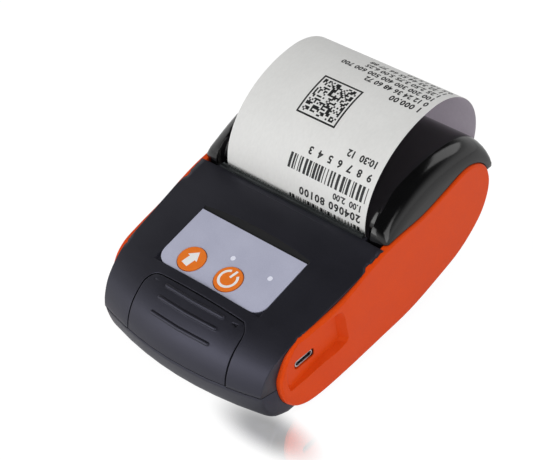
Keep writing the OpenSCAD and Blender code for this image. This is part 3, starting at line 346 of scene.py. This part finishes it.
def paint(material, *nodes):
    """Gives CAD nodes their finish."""
    for name in nodes:
        NODES[name].data.materials.clear()
        NODES[name].data.materials.append(material)


def nodes_tree(name, **inputs):
    """A Geometry Nodes tree with named inputs, and the sockets that they arrive at."""
    tree = bpy.data.node_groups.new(name, "GeometryNodeTree")
    tree.interface.new_socket("Geometry", in_out="INPUT", socket_type="NodeSocketGeometry")
    for key, kind in inputs.items():
        tree.interface.new_socket(key, in_out="INPUT", socket_type="NodeSocket" + kind)
    tree.interface.new_socket("Geometry", in_out="OUTPUT", socket_type="NodeSocketGeometry")
    return tree, add_node(tree, "NodeGroupInput").outputs


def close_tree(tree, geometry, material):
    """Ends a tree in Realize Instances and Set Material."""
    real = add_node(tree, "GeometryNodeRealizeInstances", {0: geometry})
    painted = add_node(tree, "GeometryNodeSetMaterial", {"Geometry": real.outputs[0], "Material": material})
    add_node(tree, "NodeGroupOutput", {0: painted.outputs[0]})


def grown(name, points, tree, **values):
    """Plain mesh that a tree grows from points."""
    mesh = bpy.data.meshes.new(name)
    mesh.from_pydata([tuple(p) for p in points], [], [])
    thing = bpy.data.objects.new(name, mesh)
    bpy.context.scene.collection.objects.link(thing)
    modifier = thing.modifiers.new(name, "NODES")
    modifier.node_group = tree
    for socket in tree.interface.items_tree:
        if socket.in_out == "INPUT" and socket.name in values:
            modifier[socket.identifier] = values[socket.name]
    return evaluated(thing)


# Settings

class CaseSettings(bpy.types.PropertyGroup):
    small_edge: bpy.props.FloatProperty(
        name="Small edge", description="Radius of the edges of small parts", default=0.12 * MM, unit="LENGTH")
    seam_height: bpy.props.FloatProperty(
        name="Seam height", description="Height where the two shells meet", default=13.2 * MM, unit="LENGTH")
    seam_groove: bpy.props.FloatProperty(
        name="Seam groove", description="Depth of the groove along the seam", default=0.22 * MM, unit="LENGTH")
    recess_floor: bpy.props.FloatVectorProperty(
        name="Recess floor", description="Place across of the recess's floor in mm, at the front and at the rear",
        size=2, default=(35.8, 36.35))
    port_place: bpy.props.FloatVectorProperty(
        name="Port place", description="Place along and height of the charging socket", size=2,
        default=(-36.45 * MM, 18.4 * MM), unit="LENGTH")
    port_size: bpy.props.FloatVectorProperty(
        name="Port size", description="Width, height and corner radius of the socket's opening", size=3,
        default=(8.5 * MM, 3.1 * MM, 0.9 * MM), unit="LENGTH")


class LabelSettings(bpy.types.PropertyGroup):
    origin: bpy.props.FloatVectorProperty(
        name="Label origin", description="Middle of the label's front edge",
        default=(0, -39.45 * MM, 29.695 * MM), subtype="TRANSLATION", unit="LENGTH")
    slope: bpy.props.FloatProperty(
        name="Deck slope", description="Tilt of the label", default=math.radians(11.8454), unit="ROTATION")
    keys: bpy.props.FloatVectorProperty(
        name="Key places", description="Place across of the feed key and of the power key, and along of both",
        default=(-11 * MM, 4.35 * MM, 5.7 * MM), unit="LENGTH")
    key_proud: bpy.props.FloatProperty(
        name="Key height", description="How far the keys stand out of the label", default=0.35 * MM, unit="LENGTH")
    line: bpy.props.FloatProperty(
        name="Symbol line", description="Width of the symbols' lines", default=0.85 * MM, unit="LENGTH")


class PaperSettings(bpy.types.PropertyGroup):
    thickness: bpy.props.FloatProperty(
        name="Paper thickness", description="Thickness of the strip", default=0.12 * MM, unit="LENGTH")
    width: bpy.props.FloatProperty(
        name="Paper width", description="Width of the strip", default=57 * MM, unit="LENGTH")
    seed: bpy.props.IntProperty(
        name="Print seed", description="Seed of the printed bars and block", default=7)


class StageSettings(bpy.types.PropertyGroup):
    key_power: bpy.props.FloatProperty(
        name="Key lamp", description="Power of the lamp over the front left", default=3.25, unit="POWER")
    side_power: bpy.props.FloatProperty(
        name="Side lamp", description="Power of the lamp on the right", default=2.0, unit="POWER")
    rear_power: bpy.props.FloatProperty(
        name="Rear lamp", description="Power of the lamp behind", default=1.2, unit="POWER")
    sky: bpy.props.FloatProperty(
        name="Sky", description="Level of the plain light from all round", default=0.45, min=0, max=1)


# The case

def seam_chamfer(mesh, height, depth):
    """Sets the outer corner of a shell back along the plane where it meets the other shell."""
    shape = bmesh.new()
    shape.from_mesh(mesh)
    for level in (height - depth, height, height + depth):
        bmesh.ops.bisect_plane(shape, geom=shape.verts[:] + shape.edges[:] + shape.faces[:],
                               plane_co=(0, 0, level), plane_no=(0, 0, 1))
    shape.normal_update()
    for corner in shape.verts:
        if abs(corner.co.z - height) < 0.01 * MM:
            out = Vector((corner.normal.x, corner.normal.y, 0))
            if out.dot(corner.co) > 0.005:
                corner.co -= out.normalized() * depth
    shape.to_mesh(mesh)
    shape.free()
    return mesh


# The ramp behind the label, whose front faces get painted shade: its places along, its least height, and how far its
# faces lean to the front
RAMP_FRONT, RAMP_REAR, RAMP_FOOT, RAMP_SLOPE = -17.5 * MM, -13.5 * MM, 30 * MM, 0.6


class PRINTER_OT_shells(bpy.types.Operator):
    """Moulds the two grained shells of the case, with the fine groove where they meet and painted shade on the ramp
    behind the label
    """
    bl_idname = "printer.shells"
    bl_label = "Case shells"

    def execute(self, context):
        case = context.scene.printer_case
        for node in ("top_shell", "bottom_shell"):
            shape = seam_chamfer(moulded(node), case.seam_height, case.seam_groove)
            add_piece(node + "_moulding", shape, "case", spark_eroded_abs(), "shell_black", node)
            # The ramp's front faces behind the label take a darker copy of the black ABS: painted shade.
            shape.materials.append(painted_shade_abs())
            for face in shape.polygons:
                near = RAMP_FRONT < face.center.y < RAMP_REAR and face.center.z > RAMP_FOOT
                face.material_index = int(near and face.normal.y < -RAMP_SLOPE and node == "top_shell")
        return {"FINISHED"}


# Rim and floor of the recess round the charging socket, in mm: along and height of the rim, then of the floor
RECESS = (
    (-44.2, 11.3, -43.3, 11.6), (-44.8, 13.5, -43.9, 13.6), (-44.65, 18.8, -43.8, 18.6), (-43.9, 22.2, -43.1, 21.7),
    (-42.4, 24.7, -41.8, 24.0), (-41.0, 26.4, -40.6, 25.6), (-39.4, 27.5, -39.1, 26.6), (-31.5, 28.3, -31.5, 27.4),
    (-23.2, 28.2, -24.0, 27.2), (-21.7, 27.8, -22.9, 26.6), (-20.6, 25.4, -22.2, 24.6), (-19.9, 20.3, -22.0, 20.3),
    (-19.3, 15.6, -21.6, 16.2), (-20.2, 14.3, -22.2, 15.0), (-23.1, 13.6, -24.2, 14.6), (-27.5, 13.2, -28.5, 14.5),
    (-36.3, 12.3, -36.5, 13.0))
# The panel's face in mm: place across where it is flat, place along where it starts to curve in, and how gently.
# The cutter starts outside of it.
PANEL_X, PANEL_Y, PANEL_CURVE, OUTSIDE_X = 38.7, -20, 290, 41
# Place along of the floor's front end, and the floor's length, in mm
FLOOR_Y, FLOOR_LENGTH = -44.5, 25
# The cutter for the socket's opening: place across of its inner end, and its length
PORT_INSIDE, PORT_LENGTH = 30 * MM, 12 * MM


def recess_cutter(front, rear):
    """Closed wedge with the recess's tapering walls and its flat floor, which runs from one place across the
    case at the front to another at the rear."""
    shape = bmesh.new()
    rings = [[], []]
    for rim_y, rim_z, floor_y, floor_z in RECESS:
        floor_x = front + (rear - front) * (floor_y - FLOOR_Y) / FLOOR_LENGTH
        skin_x = PANEL_X - max(0, PANEL_Y - rim_y) ** 2 / PANEL_CURVE
        reach = (OUTSIDE_X - floor_x) / (skin_x - floor_x)
        rings[0].append(shape.verts.new((floor_x * MM, floor_y * MM, floor_z * MM)))
        rings[1].append(shape.verts.new((OUTSIDE_X * MM, (floor_y + (rim_y - floor_y) * reach) * MM,
                                         (floor_z + (rim_z - floor_z) * reach) * MM)))
    for ring in rings:
        shape.faces.new(ring)
    for i in range(len(RECESS)):
        j = (i + 1) % len(RECESS)
        shape.faces.new((rings[0][i], rings[0][j], rings[1][j], rings[1][i]))
    bmesh.ops.triangulate(shape, faces=shape.faces)
    bmesh.ops.recalc_face_normals(shape, faces=shape.faces)
    mesh = bpy.data.meshes.new("recess")
    shape.to_mesh(mesh)
    shape.free()
    return mesh


class PRINTER_OT_side_panels(bpy.types.Operator):
    """Moulds the two painted side panels, the right one with its recess round the charging socket"""
    bl_idname = "printer.side_panels"
    bl_label = "Side panels"

    def execute(self, context):
        case = context.scene.printer_case
        panel = merged("left_side_panel")
        panel.transform(Matrix.Scale(-1, 4, (1, 0, 0)))
        panel.flip_normals()
        panel = without(panel, recess_cutter(*case.recess_floor))
        wide, high, corner = case.port_size
        outline = [((wide / 2 - corner) * a + corner * math.cos(t), (high / 2 - corner) * b + corner * math.sin(t))
                   for a, b, start in ((1, 1, 0), (-1, 1, 90), (-1, -1, 180), (1, -1, 270))
                   for t in (math.radians(start + step) for step in (0, 30, 60, 90))]
        along, height = case.port_place
        sideways = Matrix(((0, 0, 1, PORT_INSIDE), (1, 0, 0, along), (0, 1, 0, height), (0, 0, 0, 1)))
        panel = without(panel, joined([(plate(outline, PORT_LENGTH), Matrix.Identity(4))], sideways))
        for node, mesh in (("right_side_panel", panel), ("left_side_panel", None)):
            add_piece(node + "_moulding", moulded(node, mesh=mesh), "case", painted_panel(), "panel_orange", node)
        return {"FINISHED"}


class PRINTER_OT_release_flap(bpy.types.Operator):
    """Moulds the release flap with its three ribs"""
    bl_idname = "printer.release_flap"
    bl_label = "Release flap"

    def execute(self, context):
        shape = moulded("release_flap")
        add_piece("release_flap_moulding", shape, "flap", spark_eroded_abs(), "shell_black", "release_flap")
        return {"FINISHED"}


class PRINTER_OT_paper_cover(bpy.types.Operator):
    """Moulds the polished cover over the paper roll"""
    bl_idname = "printer.paper_cover"
    bl_label = "Paper cover"

    def execute(self, context):
        shape = moulded("paper_cover", even=False)
        add_piece("paper_cover_moulding", shape, "cover", polished_abs(), "cover_black", "paper_cover")
        return {"FINISHED"}


class PRINTER_OT_battery_door(bpy.types.Operator):
    """Moulds the battery door under the case"""
    bl_idname = "printer.battery_door"
    bl_label = "Battery door"

    def execute(self, context):
        shape = moulded("battery_door")
        add_piece("battery_door_moulding", shape, "door", spark_eroded_abs(), "shell_black", "battery_door")
        return {"FINISHED"}


# The label and its keys

def label_place(settings):
    """Matrix from the label's plane to the part's frame."""
    return Matrix.Translation(settings.origin) @ Matrix.Rotation(settings.slope, 4, "X")


def plate(outline, thickness):
    """Thin closed plate with a convex outline, standing on the plane at height 0."""
    shape = bmesh.new()
    low = [shape.verts.new((x, y, -0.02 * MM)) for x, y in outline]
    high = [shape.verts.new((x, y, thickness)) for x, y in outline]
    shape.faces.new(low[::-1])
    shape.faces.new(high)
    for i, corner in enumerate(low):
        j = (i + 1) % len(low)
        shape.faces.new((corner, low[j], high[j], high[i]))
    return shape


def broken_ring(inner, outer, start, end, steps, thickness):
    """Thin closed plate along an arc, from one angle to another."""
    shape = bmesh.new()
    rings = []
    for i in range(steps + 1):
        a = math.radians(start + (end - start) * i / steps)
        rings.append([shape.verts.new((r * math.cos(a), r * math.sin(a), z))
                      for r, z in ((inner, -0.02 * MM), (outer, -0.02 * MM), (outer, thickness), (inner, thickness))])
    for a, b in zip(rings, rings[1:]):
        for i in range(4):
            j = (i + 1) % 4
            shape.faces.new((a[i], b[i], b[j], a[j]))
    shape.faces.new(rings[0])
    shape.faces.new(rings[-1][::-1])
    bmesh.ops.recalc_face_normals(shape, faces=shape.faces)
    return shape


def joined(parts, place):
    """One mesh of several shapes, each with its own matrix, moved to its place."""
    mesh = bpy.data.meshes.new("joined")
    whole = bmesh.new()
    for shape, matrix in parts:
        bmesh.ops.transform(shape, matrix=place @ matrix, verts=shape.verts)
        bmesh.ops.recalc_face_normals(shape, faces=shape.faces)
        shape.to_mesh(mesh)
        whole.from_mesh(mesh)
        shape.free()
    whole.to_mesh(mesh)
    whole.free()
    return mesh


class PRINTER_OT_control_label(bpy.types.Operator):
    """Lays the silver label in its pocket, with the two status lights"""
    bl_idname = "printer.control_label"
    bl_label = "Control label"

    def execute(self, context):
        edge = context.scene.printer_case.small_edge
        add_piece("control_label_film", moulded("control_label", edge), "case", label_film(), "label_silver",
                  "control_label")
        add_piece("status_light_lenses", moulded("status_lights", edge), "case", light_lens(), "light_clear",
                  "status_lights")
        return {"FINISHED"}


class PRINTER_OT_keys(bpy.types.Operator):
    """Makes the feed key and the power key, with their plain white symbols"""
    bl_idname = "printer.keys"
    bl_label = "Keys"

    def execute(self, context):
        label = context.scene.printer_label
        line = label.line
        ink = 0.03 * MM
        turned = Matrix.Rotation(math.radians(-14), 4, "Z")
        power = [
            (broken_ring(2.6 * MM, 2.6 * MM + line, 122, 418, 40, ink), turned),
            (plate([(-line / 2, 0.7 * MM), (line / 2, 0.7 * MM), (line / 2, 3.7 * MM), (-line / 2, 3.7 * MM)], ink),
             turned),
        ]
        sheet = [(-1.35 * MM, -2.9 * MM), (1.35 * MM, -2.9 * MM), (1.35 * MM, 0.3 * MM), (-1.35 * MM, 0.3 * MM)]
        arrow = [(-2.35 * MM, 0.3 * MM), (2.35 * MM, 0.3 * MM), (0, 3.2 * MM)]
        feed = [(plate(sheet, ink), turned), (plate(arrow, ink), turned)]
        for x, body, node, symbol in ((label.keys[0], "feed_key", "feed_button", feed),
                                      (label.keys[1], "power_key", "power_button", power)):
            add_piece(node + "_cap", moulded(node, 0.3 * MM, steps=3), body, button_skin(), "button_orange", node)
            top = label_place(label) @ Matrix.Translation((x, label.keys[2], label.key_proud))
            add_piece(node + "_symbol", joined(symbol, top), body, white_ink(), "light_clear")
        return {"FINISHED"}


# The paper

SLOT_Y, FOOT_Z, SLOT_Z = 2.05 * MM, 32.6 * MM, 36.8 * MM
CREST, REACH, CREST_Z, DROP = 34.5 * MM, 55.8 * MM, 63.4 * MM, 18.9 * MM


def strip_line():
    """Points along the middle of the paper strip in the YZ plane: up from the nip, over the crest and down."""
    line = [Vector((0, SLOT_Y, FOOT_Z))]
    for i in range(61):
        a = math.pi - math.pi / 2 * i / 60
        line.append(Vector((0, SLOT_Y + CREST + CREST * math.cos(a), SLOT_Z + (CREST_Z - SLOT_Z) * math.sin(a))))
    for i in range(1, 61):
        a = math.radians(90 - 109 * i / 60)
        line.append(Vector((0, SLOT_Y + CREST + (REACH - CREST) * math.cos(a), CREST_Z - DROP + DROP * math.sin(a))))
    return line


def on_strip(line, along, lift):
    """Point a length along the strip, lifted off its upper face."""
    for a, b in zip(line, line[1:]):
        step = (b - a).length
        if along <= step or b is line[-1]:
            way = (b - a).normalized()
            return a + way * along + Vector((0, -way.z, way.y)) * lift
        along -= step
    return line[-1]


class PRINTER_OT_paper_strip(bpy.types.Operator):
    """Bends the printed strip of paper out of its slot and over the cover"""
    bl_idname = "printer.paper_strip"
    bl_label = "Paper strip"

    def execute(self, context):
        paper = context.scene.printer_paper
        line = strip_line()
        half = paper.width / 2
        shape = bmesh.new()
        rings = []
        for i, point in enumerate(line):
            way = (line[min(i + 1, len(line) - 1)] - line[max(i - 1, 0)]).normalized()
            off = Vector((0, -way.z, way.y)) * paper.thickness / 2
            across = [-1, -0.96, -0.5, 0, 0.5, 0.96, 1]
            rings.append([shape.verts.new(point + off + Vector((half * s, 0, 0))) for s in across]
                         + [shape.verts.new(point - off + Vector((half * s, 0, 0))) for s in reversed(across)])
        for a, b in zip(rings, rings[1:]):
            for i in range(len(a)):
                j = (i + 1) % len(a)
                shape.faces.new((a[i], a[j], b[j], b[i]))
        shape.faces.new(rings[0][::-1])
        shape.faces.new(rings[-1])
        bmesh.ops.recalc_face_normals(shape, faces=shape.faces)
        mesh = bpy.data.meshes.new("paper")
        shape.to_mesh(mesh)
        shape.free()
        mesh.shade_smooth()
        mesh.set_sharp_from_angle(angle=math.radians(50))
        add_piece("paper_strip_sheet", mesh, "cover", thermal_paper(), "paper_white", "paper_strip")
        mesh.materials.append(paper_back())
        for i, face in enumerate(mesh.polygons):
            face.material_index = int(7 <= i % 14 < 13)
        return {"FINISHED"}


def flat_box(marks, x0, x1, v0, v1):
    """Adds a printed rectangle to the flat layout."""
    marks.faces.new([marks.verts.new((x, v, 0)) for x, v in ((x0, v0), (x1, v0), (x1, v1), (x0, v1))])


def flat_numbers(marks, words, right, base, height, spread=1.0):
    """Adds a row of plain numbers that reads from the rear: it starts at the right and its feet point back."""
    curve = bpy.data.curves.new("numbers", "FONT")
    curve.body = words
    curve.size = height / 0.7
    curve.space_character = spread
    curve.resolution_u = 2
    curve.offset = 0.035 * curve.size
    thing = bpy.data.objects.new("numbers", curve)
    bpy.context.scene.collection.objects.link(thing)
    mesh = evaluated(thing)
    mesh.transform(Matrix.Translation((right, base + height, 0)) @ Matrix.Rotation(math.pi, 4, "Z"))
    marks.from_mesh(mesh)


class PRINTER_OT_print_marks(bpy.types.Operator):
    """Prints rows of plain numbers, bars and a block of squares on the strip"""
    bl_idname = "printer.print_marks"
    bl_label = "Printed marks"

    def execute(self, context):
        paper = context.scene.printer_paper
        dice = random.Random(paper.seed)
        start = SLOT_Z - FOOT_Z
        marks = bmesh.new()
        for low, high, left, right in ((-0.6, 1.3, -2, 27), (9.6, 14.6, -4, 27)):
            x = left
            while x < right:
                wide = dice.choice((0.35, 0.35, 0.7, 1.0))
                flat_box(marks, x * MM, min(x + wide, right) * MM, start + low * MM, start + high * MM)
                x += wide + dice.choice((0.35, 0.5, 0.9))
        side, cells, left, low = 15.6, 26, -9.5, 26.5
        cell = side / cells
        for i in range(cells):
            for j in range(cells):
                edge = min(i, j, cells - 1 - i, cells - 1 - j)
                if edge == 0 or (edge > 1 and dice.random() < 0.48):
                    flat_box(marks, (left + i * cell) * MM, (left + (i + 1.02) * cell) * MM,
                             start + (low + j * cell) * MM, start + (low + (j + 1.02) * cell) * MM)
        for words, base, height, spread in (
                ("204060 80100", 2.6, 2.6, 1.15), ("1.00  2.00", 6.4, 2.0, 1.0),
                ("9 8 7 6 5 4 3", 16.2, 2.4, 1.35), ("10:30  12", 20.6, 2.2, 1.0),
                ("1 000.00", 43.4, 2.2, 1.1), ("0 12 24 36 48 60 72", 46.8, 2.0, 1.05),
                ("100 200 300 400 500 600 700", 50.0, 2.0, 1.05), ("1.25 2.50 3.75 5.00 6.25", 53.2, 2.0, 1.05),
                ("11 22 33 44 55 66 77 88", 56.4, 2.0, 1.05), ("0.5 1.0 1.5 2.0", 59.6, 2.0, 1.05)):
            flat_numbers(marks, words, 26.5 * MM, start + base * MM, height * MM, spread)
        for k in range(90):
            bmesh.ops.bisect_plane(marks, geom=marks.verts[:] + marks.edges[:] + marks.faces[:],
                                   plane_co=(0, start + k * 0.8 * MM, 0), plane_no=(0, 1, 0))
        line = strip_line()
        for corner in marks.verts:
            point = on_strip(line, corner.co.y, paper.thickness / 2 + 0.02 * MM)
            corner.co = (corner.co.x, point.y, point.z)
        for face in marks.faces:
            face.normal_update()
            if face.normal.z - face.normal.y < 0:
                face.normal_flip()
        mesh = bpy.data.meshes.new("marks")
        marks.to_mesh(mesh)
        marks.free()
        add_piece("printed_marks", mesh, "cover", thermal_print(), "parts_black")
        return {"FINISHED"}


class PRINTER_OT_paper_roll(bpy.types.Operator):
    """Finishes the paper roll, its core and the web that runs to the print head"""
    bl_idname = "printer.paper_roll"
    bl_label = "Paper roll"

    def execute(self, context):
        paint(rolled_paper(), "paper_roll")
        paint(spiral_card(), "roll_core")
        paint(thermal_paper(), "paper_web")
        return {"FINISHED"}


# Small metal parts

class PRINTER_OT_springs(bpy.types.Operator):
    """Winds the two springs behind the print head and the one on the flap's pin"""
    bl_idname = "printer.springs"
    bl_label = "Springs"

    def execute(self, context):
        tree, given = nodes_tree("coil_springs", Turns="Float", Radius="Float", Length="Float", Wire="Float",
                                 Turned="Rotation")
        coil = add_node(tree, "GeometryNodeCurveSpiral", {
            "Resolution": 20, "Rotations": given["Turns"], "Start Radius": given["Radius"],
            "End Radius": given["Radius"], "Height": given["Length"]})
        wire = add_node(tree, "GeometryNodeCurvePrimitiveCircle", {"Resolution": 8, "Radius": given["Wire"]})
        tube = add_node(tree, "GeometryNodeCurveToMesh", {
            "Curve": coil.outputs[0], "Profile Curve": wire.outputs[0], "Fill Caps": True})
        smooth = add_node(tree, "GeometryNodeSetShadeSmooth", {0: tube.outputs[0]})
        placed = add_node(tree, "GeometryNodeInstanceOnPoints", {
            "Points": given["Geometry"], "Instance": smooth.outputs[0], "Rotation": given["Turned"]})
        close_tree(tree, placed.outputs[0], bright_steel())
        low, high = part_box("head_springs")
        size = high.z - low.z
        mid = (low.z + high.z) / 2
        shape = grown("head_springs", [(s * (high.x - size / 2), high.y, mid) for s in (-1, 1)], tree,
                      Turns=4.5, Radius=size / 2 - 0.25 * MM, Length=high.y - low.y, Wire=0.22 * MM,
                      Turned=(math.pi / 2, 0, 0))
        add_piece("head_spring_coils", shape, "case", bright_steel(), "steel", "head_springs")
        low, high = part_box("flap_spring")
        size = high.z - low.z
        shape = grown("flap_spring", [(low.x, (low.y + high.y) / 2, (low.z + high.z) / 2)], tree,
                      Turns=9.0, Radius=size / 2 - 0.22 * MM, Length=high.x - low.x, Wire=0.2 * MM,
                      Turned=(0, math.pi / 2, 0))
        add_piece("flap_spring_coils", shape, "case", bright_steel(), "steel", "flap_spring")
        return {"FINISHED"}


class PRINTER_OT_small_parts(bpy.types.Operator):
    """Rounds the screws and the feet, and gives the tear bar and the socket even shading"""
    bl_idname = "printer.small_parts"
    bl_label = "Small parts"

    def execute(self, context):
        edge = context.scene.printer_case.small_edge
        for node, name, material, slot, radius in (
                ("tear_bar", "tear_bar_strip", sheared_steel(), "tear_steel", 0),
                ("usb_socket", "usb_socket_shell", bright_steel(), "steel", 0),
                ("case_screws", "case_screw_heads", zinc_plate(), "steel_dark", edge),
                ("rubber_feet", "rubber_foot_pads", moulded_rubber(), "rubber_black", 0.35 * MM)):
            add_piece(name, moulded(node, radius), "case", material, slot, node)
        return {"FINISHED"}


class PRINTER_OT_works(bpy.types.Operator):
    """Finishes the print mechanism, the drive, the boards and the battery inside the case"""
    bl_idname = "printer.works"
    bl_label = "Inner works"

    def execute(self, context):
        paint(filled_nylon(), "cover_frame", "print_frame", "paper_bin", "release_bar")
        paint(bright_steel(), "flap_pin", "hook_pin", "cover_screws", "hinge_pins", "platen_shaft", "idler_pin")
        paint(zinc_plate(), "cover_hook", "feed_motor")
        paint(natural_acetal(), "platen_gear", "platen_bushings", "idler_gear")
        paint(turned_brass(), "motor_pinion", "battery_contacts")
        paint(moulded_rubber(), "platen_rubber")
        paint(glazed_ceramic(), "print_head")
        paint(cast_aluminium(), "heat_sink")
        paint(solder_mask(), "main_board", "key_board")
        paint(epoxy_package(), "board_parts")
        paint(shrink_film(), "battery_pack")
        return {"FINISHED"}


# The stage

# The floor's glossy patch: the shift that brings its middle to the origin, its turn in degrees and its stretch,
# then the distances where it starts and ends to fade, and the share of mirroring at its middle
PATCH_SHIFT, PATCH_TURN, PATCH_STRETCH = (-0.0337, 0.0526, 0), -42, (0.42, 1, 1)
PATCH_FULL, PATCH_END, PATCH_SHARE = 0.002, 0.0102, 0.66


def floor_finish():
    """White sheet: white to the camera, paler than its lit self in reflections, with the object's shadow and a
    glossy patch before the front corner that mirrors the case."""
    material = bpy.data.materials.new("white_glazed_sheet")
    material.use_nodes = True
    tree = material.node_tree
    tree.nodes.clear()
    ray = add_node(tree, "ShaderNodeLightPath").outputs
    seen = add_node(tree, "ShaderNodeMath", {0: ray["Is Glossy Ray"], 1: 0.4}, operation="MULTIPLY")
    seen = add_node(tree, "ShaderNodeMath", {0: ray["Is Camera Ray"], 1: seen.outputs[0]}, operation="MAXIMUM")
    seen = add_node(tree, "ShaderNodeMath", {0: seen.outputs[0], 1: ray["Is Transmission Ray"]}, operation="MAXIMUM")
    share = add_node(tree, "ShaderNodeMath", {0: seen.outputs[0], 1: 0.8}, operation="MULTIPLY")
    sheet = add_node(tree, "ShaderNodeBsdfDiffuse", {"Color": srgb("f4f4f4")})
    glow = add_node(tree, "ShaderNodeEmission", {"Color": (1, 1, 1, 1), "Strength": 1.15})
    plain = add_node(tree, "ShaderNodeMixShader", {0: share.outputs[0], 1: sheet.outputs[0], 2: glow.outputs[0]})
    place = add_node(tree, "ShaderNodeTexCoord").outputs["Object"]
    patch = add_node(tree, "ShaderNodeMapping", {"Vector": place, "Location": PATCH_SHIFT})
    patch = add_node(tree, "ShaderNodeMapping", {
        "Vector": patch.outputs[0], "Rotation": (0, 0, math.radians(PATCH_TURN)), "Scale": PATCH_STRETCH})
    spot = add_node(tree, "ShaderNodeVectorMath", {0: patch.outputs[0]}, operation="LENGTH")
    near = add_node(tree, "ShaderNodeMapRange", {
        "Value": spot.outputs["Value"], "From Min": PATCH_FULL, "From Max": PATCH_END, "To Min": PATCH_SHARE,
        "To Max": 0},
        interpolation_type="SMOOTHSTEP")
    mirror = add_node(tree, "ShaderNodeBsdfGlossy", {"Color": (1, 1, 1, 1), "Roughness": 0.03})
    both = add_node(tree, "ShaderNodeMixShader", {0: near.outputs[0], 1: plain.outputs[0], 2: mirror.outputs[0]})
    add_node(tree, "ShaderNodeOutputMaterial", {"Surface": both.outputs[0]})
    return material


class PRINTER_OT_stage(bpy.types.Operator):
    """Lays the white floor, and sets the plain sky, the soft lamps and the camera"""
    bl_idname = "printer.stage"
    bl_label = "Stage"

    def execute(self, context):
        stage = context.scene.printer_stage
        mesh = bpy.data.meshes.new("white_floor")
        size = 6.0
        mesh.from_pydata([(-size, -size, 0), (size, -size, 0), (size, size, 0), (-size, size, 0)], [], [(0, 1, 2, 3)])
        mesh.materials.append(floor_finish())
        ground = bpy.data.objects.new("white_floor", mesh)
        context.scene.collection.objects.link(ground)

        world = bpy.data.worlds.new("plain_studio")
        world.use_nodes = True
        tree = world.node_tree
        tree.nodes.clear()
        ray = add_node(tree, "ShaderNodeLightPath").outputs
        seen = add_node(tree, "ShaderNodeMath", {0: ray["Is Camera Ray"], 1: ray["Is Glossy Ray"]},
                        operation="MAXIMUM")
        seen = add_node(tree, "ShaderNodeMath", {0: seen.outputs[0], 1: ray["Is Transmission Ray"]},
                        operation="MAXIMUM")
        height = add_node(tree, "ShaderNodeSeparateXYZ", {
            0: add_node(tree, "ShaderNodeTexCoord").outputs["Generated"]}).outputs["Z"]
        ceiling = add_node(tree, "ShaderNodeMapRange", {
            "Value": height, "From Min": 0.2, "From Max": 0.65, "To Min": 1.0, "To Max": 0.04},
            interpolation_type="SMOOTHSTEP")
        level = add_node(tree, "ShaderNodeMix", {0: seen.outputs[0], 2: stage.sky, 3: ceiling.outputs[0]})
        sky = add_node(tree, "ShaderNodeBackground", {"Color": (1, 1, 1, 1), "Strength": level.outputs[0]})
        add_node(tree, "ShaderNodeOutputWorld", {"Surface": sky.outputs[0]})
        context.scene.world = world

        for name, place, size, power in (
                ("key_lamp", (-0.30, -0.78, 0.38), 0.60, stage.key_power),
                ("side_lamp", (0.75, -0.25, 0.45), 0.55, stage.side_power),
                ("rear_lamp", (0.25, 0.70, 0.65), 0.45, stage.rear_power)):
            lamp = bpy.data.lights.new(name, "AREA")
            lamp.size = size
            lamp.energy = power
            holder = bpy.data.objects.new(name, lamp)
            holder.location = place
            holder.rotation_euler = (Vector((0, 0, 0.03)) - Vector(place)).to_track_quat("-Z", "Y").to_euler()
            context.scene.collection.objects.link(holder)

        camera = bpy.data.cameras.new("camera")
        camera.lens = 113.16
        camera.sensor_width = 36
        camera.clip_start, camera.clip_end = 0.02, 20
        viewer = bpy.data.objects.new("camera", camera)
        context.scene.collection.objects.link(viewer)
        across = Vector((0.7401273, 0.66752337, -0.08138875))
        up = Vector((-0.39113427, 0.52577524, 0.75536374))
        viewer.matrix_world = Matrix.Translation((0.28351, -0.28481, 0.36982)) @ Matrix(
            (across, up, across.cross(up))).transposed().to_4x4()
        context.scene.camera = viewer
        context.scene.view_settings.view_transform = "Standard"
        return {"FINISHED"}


# Panel and run

STEPS = (
    PRINTER_OT_shells, PRINTER_OT_side_panels, PRINTER_OT_release_flap, PRINTER_OT_paper_cover,
    PRINTER_OT_battery_door, PRINTER_OT_control_label, PRINTER_OT_keys, PRINTER_OT_paper_strip,
    PRINTER_OT_print_marks, PRINTER_OT_paper_roll, PRINTER_OT_springs, PRINTER_OT_small_parts,
    PRINTER_OT_works, PRINTER_OT_stage)


class PRINTER_PT_panel(bpy.types.Panel):
    """Lists the printer's pieces and settings"""
    bl_idname = "PRINTER_PT_panel"
    bl_label = "Receipt printer"
    bl_space_type = "VIEW_3D"
    bl_region_type = "UI"
    bl_category = "Printer"

    def draw(self, context):
        for group in (context.scene.printer_case, context.scene.printer_label, context.scene.printer_paper,
                      context.scene.printer_stage):
            for name in group.bl_rna.properties.keys():
                if name not in ("rna_type", "name"):
                    self.layout.prop(group, name)
        for step in STEPS:
            self.layout.operator(step.bl_idname)


GROUPS = {"printer_case": CaseSettings, "printer_label": LabelSettings, "printer_paper": PaperSettings,
          "printer_stage": StageSettings}


def register():
    for kind in (*GROUPS.values(), *STEPS, PRINTER_PT_panel):
        bpy.utils.register_class(kind)
    for name, kind in GROUPS.items():
        setattr(bpy.types.Scene, name, bpy.props.PointerProperty(type=kind))


def unregister():
    for name in GROUPS:
        delattr(bpy.types.Scene, name)
    for kind in reversed((*GROUPS.values(), *STEPS, PRINTER_PT_panel)):
        bpy.utils.unregister_class(kind)


def main():
    register()
    for step in STEPS:
        group, name = step.bl_idname.split(".")
        getattr(getattr(bpy.ops, group), name)()


if __name__ == "__main__":
    main()
